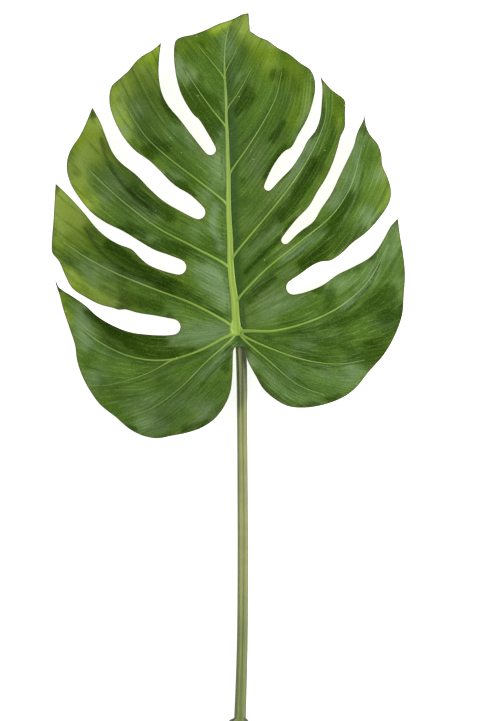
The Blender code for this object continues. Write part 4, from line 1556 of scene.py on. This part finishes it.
@dataclass
class RibNet:
    """The pale ribs on the upper face: each a low rounded band that follows the blade."""

    drawing: Drawing
    relief: Relief
    place: Place
    step: float = 1.6
    across: int = 9
    rise: float = 0.9
    sunk: float = 0.4
    flare: float = 1.4
    flare_reach: float = 9.0
    tail: float = 7.0
    full_width: float = 9.0
    edge_sink: float = 0.05

    def rooted(self, vein: Vein) -> Vein:
        """Starts a side rib a little way back along the rib that it springs from.

        Args:
            vein: The side rib.

        Returns:
            The rib with one more point before its root, so that the two part smoothly.
        """
        root = np.array(vein.points[0])
        others = [other.line(self.step) for other in self.drawing.all_veins() if other != vein]
        away = [np.linalg.norm(line - root, axis=1) for line in others]
        host = min(range(len(others)), key=lambda index: away[index].min())
        back = max(int(away[host].argmin()) - round(self.tail / self.step), 0)
        return replace(vein, points=(tuple(others[host][back]), *vein.points))

    def band(self, vein: Vein, rank: float) -> tuple[np.ndarray, list[Point], np.ndarray]:
        """Lofts one rib along its line.

        Args:
            vein: The rib.
            rank: 1 for the midrib and 0 for a side rib.

        Returns:
            Its points, its faces and its grain numbers.
        """
        line = vein.line(self.step)
        steps = np.linalg.norm(np.diff(line, axis=0), axis=1)
        length = steps.sum()
        share = np.concatenate([[0.0], np.cumsum(steps)]) / length
        along = np.gradient(line, axis=0)
        side = np.stack([-along[:, 1], along[:, 0]], axis=1)
        side /= np.linalg.norm(side, axis=1)[:, None]
        half = vein.width(share) / 2
        if not rank:
            half = half + self.flare / 2 * np.exp(-share * length / self.flare_reach)
        places = np.linspace(-1, 1, self.across)
        plan = (line[:, None] + side[:, None] * (half[:, None] * places)[..., None]).reshape(-1, 2)
        ground = self.relief.height(plan)
        crown = (self.rise * np.sqrt(2 * half / self.full_width))[:, None] * (1 - places**2)
        top = ground + (crown - self.edge_sink).ravel()
        bottom = ground - self.sunk
        points = np.concatenate([self.place.vertices(plan, top), self.place.vertices(plan, bottom)])
        count, width = len(plan), self.across
        faces = []
        for row in range(len(line) - 1):
            for column in range(width - 1):
                a = row * width + column
                b, c, d = a + 1, a + 1 + width, a + width
                faces.append((a, d, c, b))
                faces.append((a + count, b + count, c + count, d + count))
            for a, flip in ((row * width, False), (row * width + width - 1, True)):
                wall = (a, a + count, a + count + width, a + width)
                faces.append(wall[::-1] if flip else wall)
        for row, flip in ((0, False), (len(line) - 1, True)):
            for column in range(width - 1):
                a = row * width + column
                cap = (a, a + 1, a + 1 + count, a + count)
                faces.append(cap[::-1] if flip else cap)
        grain = np.column_stack([
            np.tile(places, len(line)), np.repeat(share, width), np.full(count, rank)])
        return points, faces, np.concatenate([grain, grain])

    def build(self, effects: Effects) -> bpy.types.Object:
        """Builds all the ribs as one mesh.

        Args:
            effects: The shared surface effects.

        Returns:
            The rib net, dressed.
        """
        points, faces, grain, count = [], [], [], 0
        drawing = self.drawing
        for vein in (*drawing.all_veins(), *drawing.plate):
            rank = 1.0 if vein is drawing.midrib or vein in drawing.plate else 0.0
            made, sides, numbers = self.band(vein if rank else self.rooted(vein), rank)
            if vein in drawing.plate:
                numbers[:, 1] = 0
            faces += [tuple(count + corner for corner in side) for side in sides]
            points.append(made)
            grain.append(numbers)
            count += len(made)
        piece = mesh_object("leaf_ribs", np.concatenate(points), faces)
        add_numbers(piece, "grain", list(np.concatenate(grain).T))
        piece.data.materials.append(RibFinish().material(effects))
        LOG.info("ribs: %d faces", len(piece.data.polygons))
        return piece


@dataclass
class Stalk:
    """The bare stalk: ridged along its length, channelled on top, and flared at its cut base."""

    place: Place
    # x, y, height of the axis and radius, from the base to the blade
    path: tuple[Point, ...] = (
        (2.1, -380, 8.6, 6.0), (3.4, -342, 8.0, 5.7), (4.5, -296, 7.4, 5.5), (4.9, -219, 7.0, 5.4),
        (4.6, -142, 7.2, 5.3), (4.3, -90, 8.0, 5.2), (4.0, -50, 9.4, 5.3), (3.4, -20, 10.9, 5.4),
        (2.4, -4, 11.5, 5.1), (1.2, 6, 11.9, 4.0), (0.6, 10, 12.0, 2.4))
    # x, y and radius of the flared base, from its cut end
    base: tuple[Point, ...] = (
        (0.8, -395.5, 8.9), (0.8, -395.1, 9.6), (0.8, -394, 10.2), (0.8, -389, 10.2),
        (0.8, -384.5, 10.2), (0.85, -383.3, 10.0), (0.9, -382.5, 9.6), (1.1, -381.9, 8.9),
        (1.3, -381.4, 8.0), (1.7, -380.8, 6.9), (1.95, -380.4, 6.3))
    base_radius: float = 10.2
    flat_angle: float = 27.0
    channel_depth: float = 0.1
    channel_half_angle: float = 40.0
    sides: int = 72
    step: float = 3.0
    ridge_depth: float = 0.02
    ridges: int = 17
    ridge_fade: float = 20.0
    sharp_angle: float = 50.0
    grain_degrees: float = 57.3

    def stations(self) -> np.ndarray:
        """Joins the flared base to the rest of the stalk.

        Returns:
            Its stations from the cut end to the blade: x, y, axis height and radius.
        """
        axis = self.base_radius * math.cos(math.radians(self.flat_angle))
        base = np.array([(x, y, axis, radius) for x, y, radius in self.base])
        return np.concatenate([base, smooth_line(self.path, self.step)])

    def section(self) -> tuple[np.ndarray, np.ndarray]:
        """Draws the stalk's closed outline at radius 1.

        Returns:
            Its points, and the turn of each in degrees.
        """
        span = 360 - 2 * self.flat_angle
        # Turns start by straight down, at -90 degrees, pass the top at 90 and end by 270
        turns = -90 + self.flat_angle + span * np.arange(self.sides) / (self.sides - 1)
        away = np.abs(turns - 90)
        dip = self.channel_depth * (1 - eased(away, 0, self.channel_half_angle))
        ridge = self.ridge_depth * 0.5 * (1 + np.cos(np.radians(turns) * self.ridges))
        full = self.flat_angle + self.ridge_fade
        ridge *= eased(np.abs(turns + 90), self.flat_angle, full) * eased(
            np.abs(turns - 270), self.flat_angle, full
        )
        radius = 1 - dip - ridge
        angle = np.radians(turns)
        return np.column_stack([radius * np.cos(angle), radius * np.sin(angle)]), turns

    def build(self, effects: Effects) -> bpy.types.Object:
        """Builds the stalk.

        Args:
            effects: The shared surface effects.

        Returns:
            The stalk, with its skin and its cut face dressed.
        """
        stations = self.stations()
        outline, turns = self.section()
        sides = len(outline)
        plan = np.repeat(stations[:, None, :2], sides, axis=1)
        plan[..., 0] += outline[None, :, 0] * stations[:, None, 3]
        height = stations[:, None, 2] + outline[None, :, 1] * stations[:, None, 3]
        faces = []
        for row in range(len(stations) - 1):
            for column in range(sides):
                a, b = row * sides + column, row * sides + (column + 1) % sides
                faces.append((a, b, b + sides, a + sides))
        plan, height = plan.reshape(-1, 2), height.ravel()
        ends = (stations[0], stations[-1])
        first, last = len(plan), len(plan) + 1
        plan = np.concatenate([plan, [end[:2] for end in ends]])
        height = np.concatenate([height, [end[2] for end in ends]])
        start = len(faces)
        faces += [(first, (column + 1) % sides, column) for column in range(sides)]
        tail = (len(stations) - 1) * sides
        faces += [(last, tail + column, tail + (column + 1) % sides) for column in range(sides)]
        piece = mesh_object("leaf_stalk", self.place.vertices(plan, height), faces)
        piece.data.set_sharp_from_angle(angle=math.radians(self.sharp_angle))
        around = np.tile(turns / self.grain_degrees, len(stations))
        grain = (np.tile(outline[:, 0], len(stations)), np.repeat(stations[:, 1], sides), around)
        add_numbers(piece, "grain", [np.concatenate([x, [0.0, 0.0]]) for x in grain])
        ring = np.concatenate([np.ones(len(around)), [0.0, 0.0]])
        add_numbers(piece, "cut", [ring, ring, ring])
        skin = StalkFinish().material(effects)
        cut_face = CutFinish().material(effects)
        give_materials(piece, skin, cut_face, start, sides)
        LOG.info("stalk: %d faces", len(piece.data.polygons))
        return piece


@dataclass(frozen=True)
class Lamp:
    """A soft square light: where it hangs in metres, its side and its power."""

    name: str
    x: float
    y: float
    z: float
    side: float
    power: float
    colour: Point = (1.0, 1.0, 1.0)


@dataclass
class Studio:
    """The pale floor, the soft lights and the camera, which looks straight down."""

    place: Place
    photo_size: Pair = (480.0, 721.0)
    photo_origin: Pair = (238.0, 338.0)
    millimetres_per_pixel: float = 1.0
    lens: float = 200.0
    sensor: float = 36.0
    sharp_height: float = 12.0
    clip_end: float = 40.0
    floor_size: float = 8.0
    floor_drop: float = 0.0003
    floor_tones: Pair = (0.93, 0.95)
    floor_grain: float = 40.0
    floor_roughness: float = 0.9
    floor_glow: float = 0.75
    world_strength: float = 0.3
    lamps: tuple[Lamp, ...] = (
        Lamp("key", 1.6, 0.2, 1.3, 0.9, 44.0, (1.0, 0.99, 0.97)),
        Lamp("fill", -1.3, 0.6, 1.5, 1.4, 12.0, (0.97, 0.99, 1.0)),
    )

    def floor(self) -> bpy.types.Object:
        """Lays the plain pale floor, just under the leaf.

        Returns:
            The floor.
        """
        bpy.ops.mesh.primitive_plane_add(size=self.floor_size, location=(0, 0, -self.floor_drop))
        floor = bpy.context.object
        floor.name = "floor"
        made, graph, shader = new_material("floor_white", self.floor_roughness)
        grain = graph.add("ShaderNodeTexNoise", {"Scale": self.floor_grain, "Detail": 2.0})
        greys = [(tone, tone, tone, 1.0) for tone in self.floor_tones]
        graph.link(graph.mix(grain.outputs["Fac"], *greys), shader.inputs["Base Color"])
        shader.inputs["Emission Color"].default_value = WHITE
        shader.inputs["Emission Strength"].default_value = self.floor_glow
        floor.data.materials.append(made)
        return floor

    def light(self) -> None:
        """Hangs the lamps and sets the even light all round."""
        for lamp in self.lamps:
            data = bpy.data.lights.new(lamp.name, "AREA")
            data.size = lamp.side
            data.energy = lamp.power
            data.color = lamp.colour
            made = bpy.data.objects.new(lamp.name, data)
            made.location = (lamp.x, lamp.y, lamp.z)
            made.rotation_euler = (-Vector(made.location)).to_track_quat("-Z", "Y").to_euler()
            made.visible_camera = False
            bpy.context.scene.collection.objects.link(made)
        world = bpy.data.worlds.new("studio")
        world.use_nodes = True
        back = world.node_tree.nodes["Background"]
        back.inputs["Color"].default_value = WHITE
        back.inputs["Strength"].default_value = self.world_strength
        bpy.context.scene.world = world
        bpy.context.scene.view_settings.view_transform = "Standard"

    def camera(self) -> None:
        """Hangs the camera over the middle of the photo's frame, its top edge towards the apex."""
        width, height = self.photo_size
        x = (width / 2 - self.photo_origin[0]) * self.millimetres_per_pixel + self.place.x
        y = (self.photo_origin[1] - height / 2) * self.millimetres_per_pixel + self.place.y
        seen = height * self.millimetres_per_pixel
        data = bpy.data.cameras.new("camera")
        data.lens = self.lens
        data.sensor_width = self.sensor
        data.clip_end = self.clip_end
        made = bpy.data.objects.new("camera", data)
        made.location = Vector((x, y, self.sharp_height + seen * self.lens / self.sensor)) * MM
        bpy.context.scene.collection.objects.link(made)
        bpy.context.scene.camera = made


def drawing_place(drawing: Drawing) -> Place:
    """Finds the drawing's place in the frame from the blade's own box there.

    Args:
        drawing: The leaf in plan.

    Returns:
        Where the drawing's origin lies in the frame.
    """
    low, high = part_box("blade")
    ring = drawing.ring(Blade.margin_step)
    across = (low[0] + high[0]) / 2 / MM - (ring[:, 0].min() + ring[:, 0].max()) / 2
    return Place(across, high[1] / MM - ring[:, 1].max())


def main() -> None:
    """Builds the leaf, dresses it and lights it."""
    logging.basicConfig(level=logging.INFO, format="%(name)s: %(message)s")
    for old in list(bpy.data.objects):
        bpy.data.objects.remove(old)
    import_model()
    drawing = Drawing()
    relief = Relief(drawing)
    place = drawing_place(drawing)
    effects = Effects()
    pieces = (
        (Blade(drawing, relief, place).build(effects), "blade", "blade_green"),
        (RibNet(drawing, relief, place).build(effects), "ribs", "rib_green"),
        (Stalk(place).build(effects), "stalk", "stalk_green"),
    )
    for piece, node, slot in pieces:
        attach(piece, "root")
        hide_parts(node)
        LOG.info("%s stands for %s", piece.name, node)
    studio = Studio(place)
    studio.floor()
    studio.light()
    studio.camera()
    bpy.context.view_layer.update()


if __name__ == "__main__":
    main()
